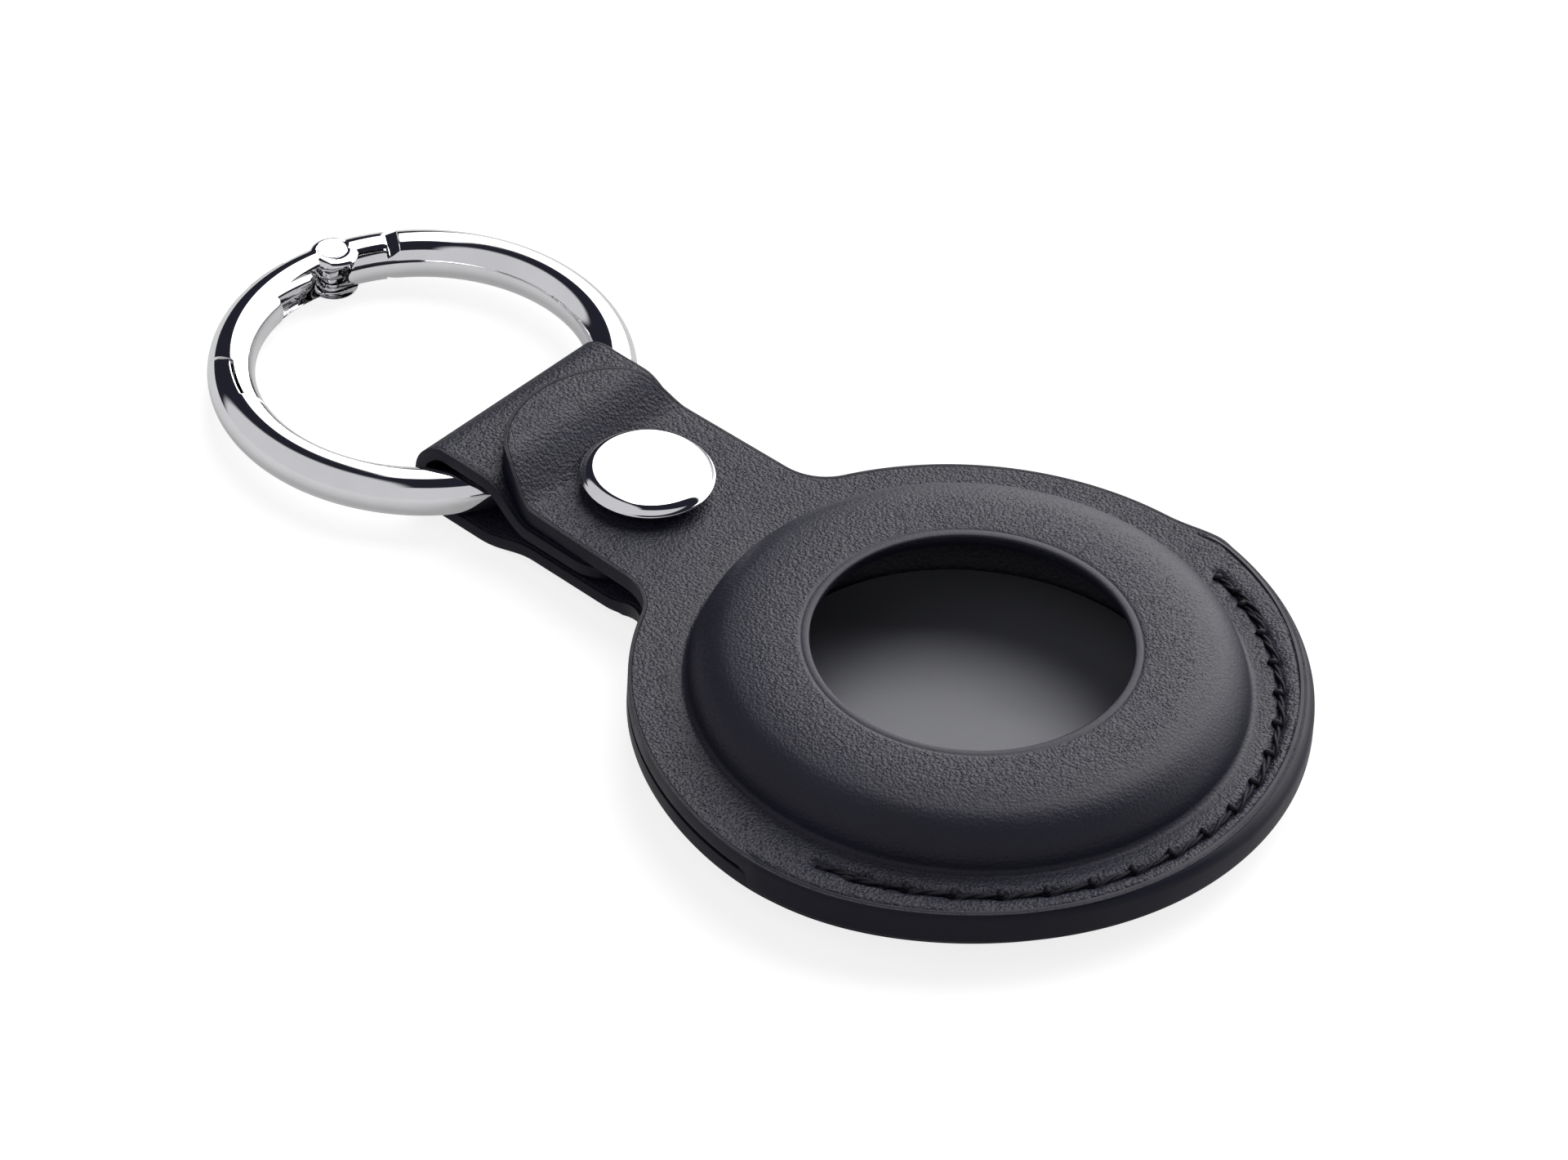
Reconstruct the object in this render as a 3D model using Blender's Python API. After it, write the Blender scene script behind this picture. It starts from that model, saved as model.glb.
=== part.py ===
"""Tag holder: a moulded leather pocket whose strap folds round a spring-gate ring and snaps shut.

The pocket disc lies on its back at the origin, the strap runs towards -X and +Z is up.
All lengths are in metres and all named angles are in degrees.
"""

import math

import bmesh
import bpy
from mathutils import Vector

# Leather
LEATHER = 0.0010
STRAP_LEATHER = 0.0008
EDGE_ROUND = 0.0003
EDGE_ANGLE = 50.0
RIM_GAP = 0.0003

# Pocket disc
DISC_RADIUS = 0.0206
RIM_WIDTH = 0.0038
DOME_FACE_WIDTH = 0.0070
DOME_RISE = 0.0033
LIP_RISE = 0.00015
SHOULDER_RADIUS = 0.0025
CREASE_RADIUS = 0.0013
WALL_SLANT_ANGLE = 12.0
BACK_BULGE = 0.0020
BULGE_PAST_DOME = 0.0004
BULGE_SLOPE_LENGTH = 0.0029

# Pocket lining
LINING = 0.0003
LINING_MARGIN = 0.0005

# Strap of the back leather and tab of the front leather
STRAP_WIDTH = 0.0148
TAB_INSET = 0.0001
TAB_TAPER = 0.0002
TAB_PAST_LOOP = 0.00237
TAB_END_LENGTH = 0.0065
TAB_TIP_ANGLE = 78.0
TAB_GAP = 0.00025
NECK_FILLET = 0.0035
HINGE_PAST_DISC = 0.0006
HINGE_GAP = 0.0003
FLAP_PAST_STUD = 0.0008
FLAP_CORNER = 0.0028
NECK_DROP = 0.00115
NECK_DROP_INSET = 0.0021
NECK_DROP_LENGTH = 0.0045
STRAP_DIP_LENGTH = 0.0045
FLAP_RISE_LENGTH = 0.0039
STUD_TO_FLAP_RISE = 0.00033

# Stitching
STITCH_INSET = 0.0017
STITCH_SPAN_ANGLE = 77.0
STITCH_PITCH = 0.0028
STITCH_SLANT = 0.00012
THREAD_RADIUS = 0.00025
THREAD_CROWN = 0.00012
THREAD_DIP = 0.00012
THREAD_GAP = 0.00012

# Snap fastener
SNAP_FROM_HINGE = 0.0052
CAP_RADIUS = 0.0042
CAP_FOOT_RADIUS = 0.0036
CAP_HEIGHT = 0.0012
CAP_BELLY = 0.00085
CAP_CROWN = 0.00010
CAP_WALL = 0.00025
CAP_EDGE_ROUND = 0.0003
CAP_SEAT_GAP = 0.00015
CAP_POST_RADIUS = 0.00060
SOCKET_RADIUS = 0.00295
SOCKET_FLANGE_RADIUS = 0.0036
SOCKET_FLANGE = 0.00025
SOCKET_PLATE = 0.00020
SOCKET_HEIGHT = 0.00175
SOCKET_GROOVE_DEPTH = 0.00035
STUD_FLANGE_RADIUS = 0.0028
STUD_FLANGE = 0.00025
STUD_NECK_RADIUS = 0.0015
STUD_HEAD_RADIUS = 0.00185
STUD_WALL = 0.0003
STUD_HEIGHT = 0.00155
SNAP_CLEARANCE = 0.00035
PLAY = 0.00012
POST_FLANGE_RADIUS = 0.0025
POST_FLANGE = 0.0002
SPRING_WIRE_RADIUS = 0.00015
SPRING_OPEN_ANGLE = 50.0

# Ring
RING_RADIUS = 0.01195
SWING_AXIS_FROM_SEAT = 0.0013
TUBE_HALF_WIDTH = 0.0015
TUBE_HALF_HEIGHT = 0.0015
RING_SEAT_GAP = 0.00020
RING_TOP_GAP = 0.00025
RING_FOLD_GAP = 0.00020
FLOOR_GAP = 0.00007
PIN_ANGLE = 162.0
TAIL_ANGLE = 145.0
BODY_SHOULDER_ANGLE = 141.0
LATCH_SHOULDER_ANGLE = 227.0
LATCH_LIP_ANGLE = 243.0
CHANNEL_END_ANGLE = 190.0
LATCH_GAP = 0.00020
CHEEK = 0.00028
WEB = 0.00035
LOBE_RADIUS = 0.0019
LOBE_INSET = 0.00035
CHEEK_GAP = 0.00008
EAR = 0.0002
EAR_RADIUS = 0.00105
TONGUE_INNER_OFFSET = 0.00095
FORK_RADIUS = 0.00155
PIN_RADIUS = 0.00062
PIN_HEAD_RADIUS = 0.0010
PIN_HEAD = 0.00013
PIN_PLAY = 0.00008
COIL_WIRE_RADIUS = 0.00010
COIL_RADIUS = 0.00098
COIL_TURNS = 2.5
COIL_LEG_ANGLE = 13.0

# Overruns and facets
OVERRUN = 0.0005
DISC_STEPS = 56
RING_STEPS = 72
TUBE_STEPS = 14
TURNED_STEPS = 36
FINE_STEPS = 24

# Sizes, places and levels worked out from the sizes above
DOME_RADIUS = DISC_RADIUS - RIM_WIDTH
WINDOW_RADIUS = DOME_RADIUS - DOME_FACE_WIDTH
BULGE_RADIUS = DOME_RADIUS + BULGE_PAST_DOME
FLOOR_RADIUS = BULGE_RADIUS - BULGE_SLOPE_LENGTH
STITCH_RADIUS = DISC_RADIUS - STITCH_INSET
NECK_DROP_FROM_CENTRE = DISC_RADIUS - NECK_DROP_INSET
TAB_WIDTH = STRAP_WIDTH - 2 * TAB_INSET
TAB_END_WIDTH = TAB_WIDTH - 2 * TAB_TAPER
FLAP_END_FROM_HINGE = SNAP_FROM_HINGE - STUD_FLANGE_RADIUS - FLAP_PAST_STUD
FLAP_RISE_FROM_HINGE = SNAP_FROM_HINGE + STUD_FLANGE_RADIUS + STUD_TO_FLAP_RISE
LOOP_FROM_HINGE = FLAP_RISE_FROM_HINGE + FLAP_RISE_LENGTH
TAB_LENGTH = LOOP_FROM_HINGE + TAB_PAST_LOOP
BACK_FLANGE_TOP = BACK_BULGE + LEATHER
FRONT_FLANGE_LOW = BACK_FLANGE_TOP + RIM_GAP
FRONT_FLANGE_TOP = FRONT_FLANGE_LOW + LEATHER
HINGE_X = -(DISC_RADIUS + HINGE_PAST_DISC)
LOOP_REACH = LOOP_FROM_HINGE - HINGE_X
RING_SEAT_Z = STRAP_LEATHER + RING_SEAT_GAP + TUBE_HALF_HEIGHT
CREST_Z = RING_SEAT_Z + TUBE_HALF_HEIGHT + RING_TOP_GAP + STRAP_LEATHER / 2
FLAP_Z = FRONT_FLANGE_LOW - TAB_GAP - STRAP_LEATHER / 2
TAB_RISE = CREST_Z - FLAP_Z


def clear_scene():
    """Remove every object that is in the scene."""
    for item in list(bpy.data.objects):
        bpy.data.objects.remove(item, do_unlink=True)


def make_material(name, colour, roughness, metallic):
    """Principled material with one colour, roughness and metallic value."""
    material = bpy.data.materials.new(name)
    material.use_nodes = True
    shader = material.node_tree.nodes["Principled BSDF"]
    shader.inputs["Base Color"].default_value = (*colour, 1.0)
    shader.inputs["Roughness"].default_value = roughness
    shader.inputs["Metallic"].default_value = metallic
    return material


def add_empty(name, location, tilt):
    """Empty that carries the pieces of a tilted group."""
    empty = bpy.data.objects.new(name, None)
    empty.empty_display_size = LEATHER
    empty.location = location
    empty.rotation_euler = (0.0, tilt, 0.0)
    bpy.context.scene.collection.objects.link(empty)
    return empty


def add_object(name, bm, material=None, parent=None, origin=(0.0, 0.0)):
    """Object from a bmesh, with its origin at a place in the plane of its group."""
    if origin != (0.0, 0.0):
        bmesh.ops.translate(bm, verts=bm.verts[:], vec=(-origin[0], -origin[1], 0.0))
    bmesh.ops.recalc_face_normals(bm, faces=bm.faces[:])
    mesh = bpy.data.meshes.new(name)
    bm.to_mesh(mesh)
    bm.free()
    item = bpy.data.objects.new(name, mesh)
    item.parent = parent
    item.location = (origin[0], origin[1], 0.0)
    bpy.context.scene.collection.objects.link(item)
    if material:
        mesh.materials.append(material)
        mesh.shade_smooth()
        mesh.set_sharp_from_angle(angle=math.radians(EDGE_ANGLE))
    return item


def add_cutter(name, bm, parent=None):
    """Helper solid for a Boolean, left out of the finished part."""
    cutter = add_object(name, bm, parent=parent)
    cutter.hide_render = True
    cutter.display_type = "WIRE"
    return cutter


def apply_boolean(item, operation, tool):
    """Boolean modifier with the exact solver."""
    modifier = item.modifiers.new(tool.name, "BOOLEAN")
    modifier.operation = operation
    modifier.solver = "EXACT"
    modifier.object = tool


def round_edges(item, width=EDGE_ROUND):
    """Bevel modifier on the edges that are sharper than the edge angle."""
    modifier = item.modifiers.new("edge_round", "BEVEL")
    modifier.width = width
    modifier.segments = 2
    modifier.limit_method = "ANGLE"
    modifier.angle_limit = math.radians(EDGE_ANGLE)


def arc_points(centre, radius, start, end, steps):
    """Points on an arc between two angles in radians, both ends included."""
    points = []
    for index in range(steps + 1):
        angle = start + (end - start) * index / steps
        points.append((centre[0] + radius * math.cos(angle), centre[1] + radius * math.sin(angle)))
    return points


def polar(radius, degrees):
    """Point at a radius and an angle."""
    return (radius * math.cos(math.radians(degrees)), radius * math.sin(math.radians(degrees)))


def ease(share):
    """Share of a smooth step, level at both ends."""
    return (1 - math.cos(math.pi * min(1.0, max(0.0, share)))) / 2


def ease_slope(share, height, length):
    """Slope of a smooth step of a height over a length."""
    return height / length * math.pi * math.sin(math.pi * min(1.0, max(0.0, share))) / 2


def lathe(profile, steps=TURNED_STEPS, closed=True):
    """Turned solid about Z from a profile of radii and heights; an open profile ends on the axis."""
    bm = bmesh.new()
    verts = [bm.verts.new((radius, 0.0, height)) for radius, height in profile]
    edges = [bm.edges.new(pair) for pair in zip(verts, verts[1:])]
    if closed:
        edges.append(bm.edges.new((verts[-1], verts[0])))
    bmesh.ops.spin(bm, geom=verts + edges, cent=(0, 0, 0), axis=(0, 0, 1), angle=math.tau, steps=steps,
                   use_merge=True)
    bmesh.ops.remove_doubles(bm, verts=bm.verts[:], dist=PLAY / 1000)
    return bm


def prism(points, low, high):
    """Plan outline extruded from a low to a high level."""
    bm = bmesh.new()
    base = bm.faces.new([bm.verts.new((x, y, low)) for x, y in points])
    result = bmesh.ops.extrude_face_region(bm, geom=[base])
    top = [item for item in result["geom"] if isinstance(item, bmesh.types.BMVert)]
    bmesh.ops.translate(bm, verts=top, vec=(0.0, 0.0, high - low))
    return bm


def skin(bm, loops, wrap=False):
    """Join closed loops of vertices with quads; wrap joins the last loop to the first."""
    pairs = list(zip(loops, loops[1:]))
    if wrap:
        pairs.append((loops[-1], loops[0]))
    for first, second in pairs:
        for index in range(len(first)):
            after = (index + 1) % len(first)
            bm.faces.new((first[index], first[after], second[after], second[index]))


def annular_sector(radius, half_width, half_angle, steps):
    """Plan outline of a band along an arc that is centred on +X."""
    outer = arc_points((0.0, 0.0), radius + half_width, -half_angle, half_angle, steps)
    inner = arc_points((0.0, 0.0), radius - half_width, half_angle, -half_angle, steps)
    return outer + inner


def neck_fillet_centre(half_width):
    """Centre of the fillet between the disc and a strap of a half width, on the +Y side."""
    reach = DISC_RADIUS + NECK_FILLET
    side = half_width + NECK_FILLET
    return (-math.sqrt(reach * reach - side * side), side)


def panel_outline(half_width, cut_x, cut_steps):
    """Disc, neck fillets and a straight cut across the neck, counter-clockwise from the cut's +Y end.

    Returns:
        The outline's points and how many of the first ones lie on the cut.
    """
    centre = neck_fillet_centre(half_width)
    tangent = math.atan2(centre[1], -centre[0])
    cut_angle = -math.acos(min(1.0, max(0.0, (cut_x - centre[0]) / NECK_FILLET)))
    upper = arc_points(centre, NECK_FILLET, -tangent, cut_angle, 4)
    lower = [(x, -y) for x, y in reversed(upper)]
    disc = arc_points((0.0, 0.0), DISC_RADIUS, tangent - math.pi, math.pi - tangent, DISC_STEPS)
    corner = upper[-1][1]
    cut = [(cut_x, corner * (1 - 2 * step / cut_steps)) for step in range(cut_steps + 1)]
    outline = cut + lower[1:] + disc[1:] + upper[1:-1]
    return outline, len(cut)


def dome_profile(offset):
    """Radii and heights of the domed front from the window to the flange.

    Args:
        offset: depth below the outer surface, zero or the leather's thickness.
    """
    top = FRONT_FLANGE_TOP + DOME_RISE - offset
    slant = math.radians(WALL_SLANT_ANGLE)
    both = SHOULDER_RADIUS + CREASE_RADIUS
    shoulder = (DOME_RADIUS - SHOULDER_RADIUS, FRONT_FLANGE_TOP + DOME_RISE - SHOULDER_RADIUS)
    wall = (both * math.sin(slant) - (both - DOME_RISE)) / math.cos(slant)
    crease = (shoulder[0] + both * math.cos(slant) + wall * math.sin(slant), FRONT_FLANGE_TOP + CREASE_RADIUS)
    middle = (WINDOW_RADIUS + shoulder[0]) / 2
    crown = [(WINDOW_RADIUS, top + LIP_RISE), (middle, top + LIP_RISE)]
    curve = arc_points(shoulder, SHOULDER_RADIUS - offset, math.pi / 2, slant, 5)
    valley = arc_points(crease, CREASE_RADIUS + offset, math.pi + slant, 1.5 * math.pi, 4)
    return crown + curve + valley


def build_front_panel(leather):
    """Front leather with its moulded dome, window and neck."""
    outline, _ = panel_outline(TAB_WIDTH / 2, HINGE_X + HINGE_GAP / 2, 8)
    directions = [Vector(point).normalized() for point in outline]
    bm = bmesh.new()
    loops = []
    for radius, height in dome_profile(0.0):
        loops.append([bm.verts.new((*(way * radius), height)) for way in directions])
    for level in (FRONT_FLANGE_TOP, FRONT_FLANGE_LOW):
        loops.append([bm.verts.new((x, y, level)) for x, y in outline])
    for radius, height in reversed(dome_profile(LEATHER)):
        loops.append([bm.verts.new((*(way * radius), height)) for way in directions])
    skin(bm, loops, wrap=True)
    panel = add_object("front_panel", bm, leather)
    round_edges(panel)
    return panel


def bulge_profile():
    """Radii and levels of the underside of the back bulge, from its flat floor to the flange."""
    steps = 5
    points = []
    for step in range(steps + 1):
        share = step / steps
        radius = FLOOR_RADIUS + (BULGE_RADIUS - FLOOR_RADIUS) * share
        points.append((radius, BACK_BULGE * (1 - math.cos(math.pi * share)) / 2))
    return points


def neck_drop(x):
    """Distance by which the back leather sinks below the rim beside the neck."""
    return NECK_DROP * ease((-NECK_DROP_FROM_CENTRE - x) / NECK_DROP_LENGTH)


def fold_geometry():
    """Centre and middle radius of the fold that runs round the ring tube."""
    inner = RING_RADIUS - TUBE_HALF_WIDTH
    ring_edge = math.sqrt(inner * inner - STRAP_WIDTH * STRAP_WIDTH / 4) - RING_RADIUS - LOOP_REACH
    tip = ring_edge - RING_FOLD_GAP - STRAP_LEATHER / 2
    radius = (CREST_Z - STRAP_LEATHER / 2) / 2
    return (tip + radius, STRAP_LEATHER / 2 + radius), radius


def smooth_step(start, end, steps):
    """Places on a smooth step between two points, with the slope at each.

    Returns:
        A list of x, z and slope, both ends included.
    """
    places = []
    length = end[0] - start[0]
    height = end[1] - start[1]
    for step in range(steps + 1):
        share = step / steps
        places.append((start[0] + length * share, start[1] + height * ease(share),
                       ease_slope(share, height, length)))
    return places


def strap_path():
    """Middle line of the strap and its fold up to the flap, as places with the angle of the inner normal."""
    neck_end = -NECK_DROP_FROM_CENTRE - NECK_DROP_LENGTH
    flat_z = BACK_BULGE + LEATHER / 2 - NECK_DROP
    low_z = STRAP_LEATHER / 2
    dip_end = -LOOP_REACH
    path = [(neck_end, flat_z, math.pi / 2)]
    for x, z, slope in smooth_step((dip_end + STRAP_DIP_LENGTH, flat_z), (dip_end, low_z), 6):
        path.append((x, z, math.pi / 2 + math.atan(slope)))
    centre, radius = fold_geometry()
    steps = 14
    for step in range(steps + 1):
        angle = -math.pi / 2 - math.pi * step / steps
        path.append((centre[0] + radius * math.cos(angle), centre[1] + radius * math.sin(angle), angle + math.pi))
    for x, z, slope in smooth_step((-LOOP_REACH, CREST_Z), (-LOOP_REACH + FLAP_RISE_LENGTH, FLAP_Z), 7):
        path.append((x, z, math.atan(slope) - math.pi / 2))
    return path


def flap_stations():
    """Last places of the flap with the half width there, so that its corners are round."""
    stations = []
    steps = 3
    for step in range(steps + 1):
        angle = math.pi / 2 * step / steps
        x = HINGE_X - FLAP_END_FROM_HINGE - FLAP_CORNER * (1 - math.sin(angle))
        stations.append((x, STRAP_WIDTH / 2 - FLAP_CORNER * (1 - math.cos(angle))))
    return stations


def add_section(bm, shares, sides, place, half, thickness):
    """Closed loop of vertices round the cross section of a strip of leather.

    Args:
        shares: place of each vertex across the strip, from -1 to 1.
        sides: 1 for a vertex on the side the normal points to and -1 for the other.
        place: x and z of the middle of the section and the angle of its normal.
        half: half of the strip's width.
        thickness: thickness of the leather.
    """
    x, z, normal = place
    reach = thickness / 2
    return [bm.verts.new((x + side * reach * math.cos(normal), share * half, z + side * reach * math.sin(normal)))
            for share, side in zip(shares, sides)]


def cap_section(bm, loop):
    """Close the end of a strip whose section loop runs once across each side."""
    for index in range(len(loop) // 2 - 1):
        bm.faces.new((loop[index], loop[index + 1], loop[-2 - index], loop[-1 - index]))


def build_back_panel(leather):
    """Back leather in one piece: bulged disc, strap, fold round the ring and flap under the tab."""
    cut_x = neck_fillet_centre(STRAP_WIDTH / 2)[0]
    outline, on_cut = panel_outline(STRAP_WIDTH / 2, cut_x, 6)
    directions = [Vector(point).normalized() for point in outline]
    bm = bmesh.new()
    under = [[bm.verts.new((*(way * radius), level)) for way in directions] for radius, level in bulge_profile()]
    under.append([bm.verts.new((x, y, BACK_BULGE - neck_drop(x))) for x, y in outline])
    over = [[bm.verts.new((*(way * radius), level + LEATHER)) for way in directions]
            for radius, level in bulge_profile()]
    over.append([bm.verts.new((x, y, BACK_FLANGE_TOP - neck_drop(x))) for x, y in outline])
    skin(bm, under + list(reversed(over)))
    bm.faces.new(under[0])
    bm.faces.new(over[0])
    cut_faces = [face for face in bm.faces if all(abs(vert.co.x - cut_x) < PLAY / 100 for vert in face.verts)]
    bmesh.ops.delete(bm, geom=cut_faces, context="FACES_ONLY")
    loop = under[-1][:on_cut] + list(reversed(over[-1][:on_cut]))
    shares = [vert.co.y / (STRAP_WIDTH / 2) for vert in loop]
    sides = [-1.0] * on_cut + [1.0] * on_cut
    loops = [loop]
    for place in strap_path():
        loops.append(add_section(bm, shares, sides, place, STRAP_WIDTH / 2, STRAP_LEATHER))
    for x, half in flap_stations():
        loops.append(add_section(bm, shares, sides, (x, FLAP_Z, -math.pi / 2), half, STRAP_LEATHER))
    skin(bm, loops)
    cap_section(bm, loops[-1])
    panel = add_object("back_panel", bm, leather)
    round_edges(panel)
    return panel


def build_lining(lining):
    """Smooth disc on the pocket floor, seen through the window."""
    low = LEATHER + RIM_GAP
    radius = FLOOR_RADIUS - LINING_MARGIN
    profile = [(0.0, low), (radius, low), (radius, low + LINING), (0.0, low + LINING)]
    return add_object("pocket_lining", lathe(profile, 2 * FINE_STEPS, closed=False), lining)


def tab_place(x):
    """Middle of the tab's section at a distance beyond the hinge, in the hinge's frame."""
    share = (-FLAP_RISE_FROM_HINGE - x) / FLAP_RISE_LENGTH
    level = TAB_RISE * ease(share) - LEATHER / 2
    return x, level, math.pi / 2 - math.atan(ease_slope(share, TAB_RISE, FLAP_RISE_LENGTH))


def build_tab(leather, hinge):
    """Strap part of the front leather, with its rounded end and the hole for the socket."""
    half = TAB_END_WIDTH / 2
    straight_end = -TAB_LENGTH + TAB_END_LENGTH
    tip_angle = math.radians(TAB_TIP_ANGLE)
    stations = [(-HINGE_GAP / 2, TAB_WIDTH / 2), (straight_end / 2, (TAB_WIDTH + TAB_END_WIDTH) / 4)]
    steps = 9
    for step in range(steps + 1):
        angle = tip_angle * step / steps
        stations.append((straight_end - TAB_END_LENGTH * math.sin(angle), half * math.cos(angle)))
    across = [1 - index / 3 for index in range(7)]
    shares = across + across[::-1]
    sides = [-1.0] * len(across) + [1.0] * len(across)
    bm = bmesh.new()
    loops = [add_section(bm, shares, sides, tab_place(x), width, LEATHER) for x, width in stations]
    skin(bm, loops)
    cap_section(bm, loops[0])
    cap_section(bm, loops[-1])
    tab = add_object("front_tab", bm, leather, hinge)
    round_edges(tab)
    return tab


def snap_lathe(name, profile, material, parent, closed=True, steps=TURNED_STEPS):
    """Turned piece on the axis of the snap."""
    bm = lathe(profile, steps, closed)
    bmesh.ops.translate(bm, verts=bm.verts[:], vec=(-SNAP_FROM_HINGE, 0.0, 0.0))
    return add_object(name, bm, material, parent)


def snap_cutter(name, profile, parent):
    """Turned cutter on the axis of the snap."""
    bm = lathe(profile, TURNED_STEPS, closed=False)
    bmesh.ops.translate(bm, verts=bm.verts[:], vec=(-SNAP_FROM_HINGE, 0.0, 0.0))
    return add_cutter(name, bm, parent)


def build_snap(chrome, steel, tab, back_panel, hinge, seat):
    """Cap, socket and its spring on the tab; stud and its rivet on the flap."""
    recess = -LEATHER + SOCKET_FLANGE
    wide = SOCKET_FLANGE_RADIUS + PLAY
    narrow = SOCKET_RADIUS + PLAY
    seat_hole = [(0.0, -LEATHER - OVERRUN), (wide, -LEATHER - OVERRUN), (wide, recess + PLAY / 2),
                 (narrow, recess + PLAY / 2), (narrow, OVERRUN), (0.0, OVERRUN)]
    apply_boolean(tab, "DIFFERENCE", snap_cutter("socket_hole", seat_hole, hinge))
    low = recess - SOCKET_FLANGE - PLAY / 2
    high = low + SOCKET_HEIGHT
    plate_low = high - SOCKET_PLATE
    bore = STUD_HEAD_RADIUS + SNAP_CLEARANCE
    groove_low = -LEATHER / 2 - SPRING_WIRE_RADIUS
    groove_high = groove_low + 2 * SPRING_WIRE_RADIUS + PLAY
    groove = bore + SOCKET_GROOVE_DEPTH
    post_hole = CAP_POST_RADIUS + PLAY
    socket = [(bore, low), (SOCKET_FLANGE_RADIUS, low), (SOCKET_FLANGE_RADIUS, low + SOCKET_FLANGE),
              (SOCKET_RADIUS, low + SOCKET_FLANGE), (SOCKET_RADIUS, high), (post_hole, high),
              (post_hole, plate_low), (bore, plate_low), (bore, groove_high), (groove, groove_high),
              (groove, groove_low), (bore, groove_low)]
    snap_lathe("snap_socket", socket, steel, hinge)
    build_snap_cap(chrome, hinge, plate_low)
    build_socket_spring(steel, hinge, bore, groove_low + SPRING_WIRE_RADIUS + PLAY / 2)
    build_stud(chrome, steel, back_panel, seat)


def build_snap_cap(chrome, hinge, plate_low):
    """Hollow cap with a rolled rim and the post that is clenched inside the socket."""
    foot = CAP_SEAT_GAP
    top = foot + CAP_HEIGHT
    ceiling = top - CAP_WALL
    rim = CAP_RADIUS - CAP_EDGE_ROUND
    belly = foot + CAP_BELLY
    edge = arc_points((rim, top - CAP_EDGE_ROUND), CAP_EDGE_ROUND, 0.0, math.pi / 2, 3)
    clench_low = plate_low - PLAY - CAP_WALL / 2
    clench = 2 * CAP_POST_RADIUS
    profile = [(0.0, clench_low), (clench, clench_low), (clench, clench_low + CAP_WALL / 2),
               (CAP_POST_RADIUS, clench_low + CAP_WALL / 2), (CAP_POST_RADIUS, ceiling),
               (rim - CAP_WALL, ceiling), (CAP_RADIUS - CAP_WALL, belly), (CAP_FOOT_RADIUS - CAP_WALL, foot),
               (CAP_FOOT_RADIUS, foot), (CAP_RADIUS, belly)]
    crown = [(rim * 2 / 3, top + CAP_CROWN / 2), (rim / 3, top + CAP_CROWN), (0.0, top + CAP_CROWN)]
    snap_lathe("snap_cap", profile + edge + crown, chrome, hinge, closed=False, steps=TURNED_STEPS + 12)


def build_socket_spring(steel, hinge, bore, level):
    """Open wire ring that lies in the socket's groove and grips the stud."""
    radius = bore + SPRING_WIRE_RADIUS / 2
    opening = math.radians(SPRING_OPEN_ANGLE) / 2
    points = [(x - SNAP_FROM_HINGE, y, level)
              for x, y in arc_points((0.0, 0.0), radius, opening, math.tau - opening, FINE_STEPS)]
    add_tube("socket_spring", points, SPRING_WIRE_RADIUS, steel, hinge)


def add_tube(name, points, radius, material, parent=None, resolution=1):
    """Round tube with closed ends along a polyline."""
    curve = bpy.data.curves.new(name, "CURVE")
    curve.dimensions = "3D"
    curve.bevel_depth = radius
    curve.bevel_resolution = resolution
    curve.use_fill_caps = True
    spline = curve.splines.new("POLY")
    spline.points.add(len(points) - 1)
    for target, point in zip(spline.points, points):
        target.co = (*point, 1.0)
        target.radius = 1.0
    curve.materials.append(material)
    item = bpy.data.objects.new(name, curve)
    item.parent = parent
    bpy.context.scene.collection.objects.link(item)
    return item


def build_stud(chrome, steel, back_panel, seat):
    """Stud that presses into the socket, and the rivet that holds it from under the flap."""
    flap_top = -LEATHER - TAB_GAP
    flap_low = flap_top - STRAP_LEATHER
    hole = STUD_NECK_RADIUS - STUD_WALL
    wide = STUD_FLANGE_RADIUS + PLAY
    step = flap_top - STUD_FLANGE - PLAY / 2
    stud_hole = [(0.0, flap_low - PLAY), (hole, flap_low - PLAY), (hole, step), (wide, step),
                 (wide, flap_top + PLAY), (0.0, flap_top + PLAY)]
    apply_boolean(back_panel, "DIFFERENCE", snap_cutter("stud_hole", stud_hole, seat))
    low = flap_top - STUD_FLANGE
    high = low + STUD_HEIGHT
    head = high - STUD_WALL
    stud = [(hole, low), (STUD_FLANGE_RADIUS, low), (STUD_FLANGE_RADIUS, flap_top),
            (STUD_NECK_RADIUS, flap_top), (STUD_NECK_RADIUS, head - STUD_WALL), (STUD_HEAD_RADIUS, head),
            (STUD_HEAD_RADIUS - STUD_WALL / 2, high - STUD_WALL / 3), (hole, high), (0.0, high),
            (0.0, high - STUD_WALL / 2), (hole, high - STUD_WALL / 2)]
    stud_open = [stud[-2], stud[-1]] + stud[:-2]
    snap_lathe("snap_stud", stud_open, steel, seat, closed=False, steps=FINE_STEPS + 6)
    shaft = hole - PLAY
    seat_z = flap_low - PLAY
    low_z = seat_z - POST_FLANGE
    post = [(0.0, low_z), (POST_FLANGE_RADIUS, low_z), (POST_FLANGE_RADIUS, low_z + POST_FLANGE / 2),
            (POST_FLANGE_RADIUS - POST_FLANGE / 2, seat_z), (shaft, seat_z), (shaft, high - STUD_WALL),
            (0.0, high - STUD_WALL)]
    snap_lathe("stud_post", post, chrome, seat, closed=False, steps=FINE_STEPS + 6)


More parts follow.
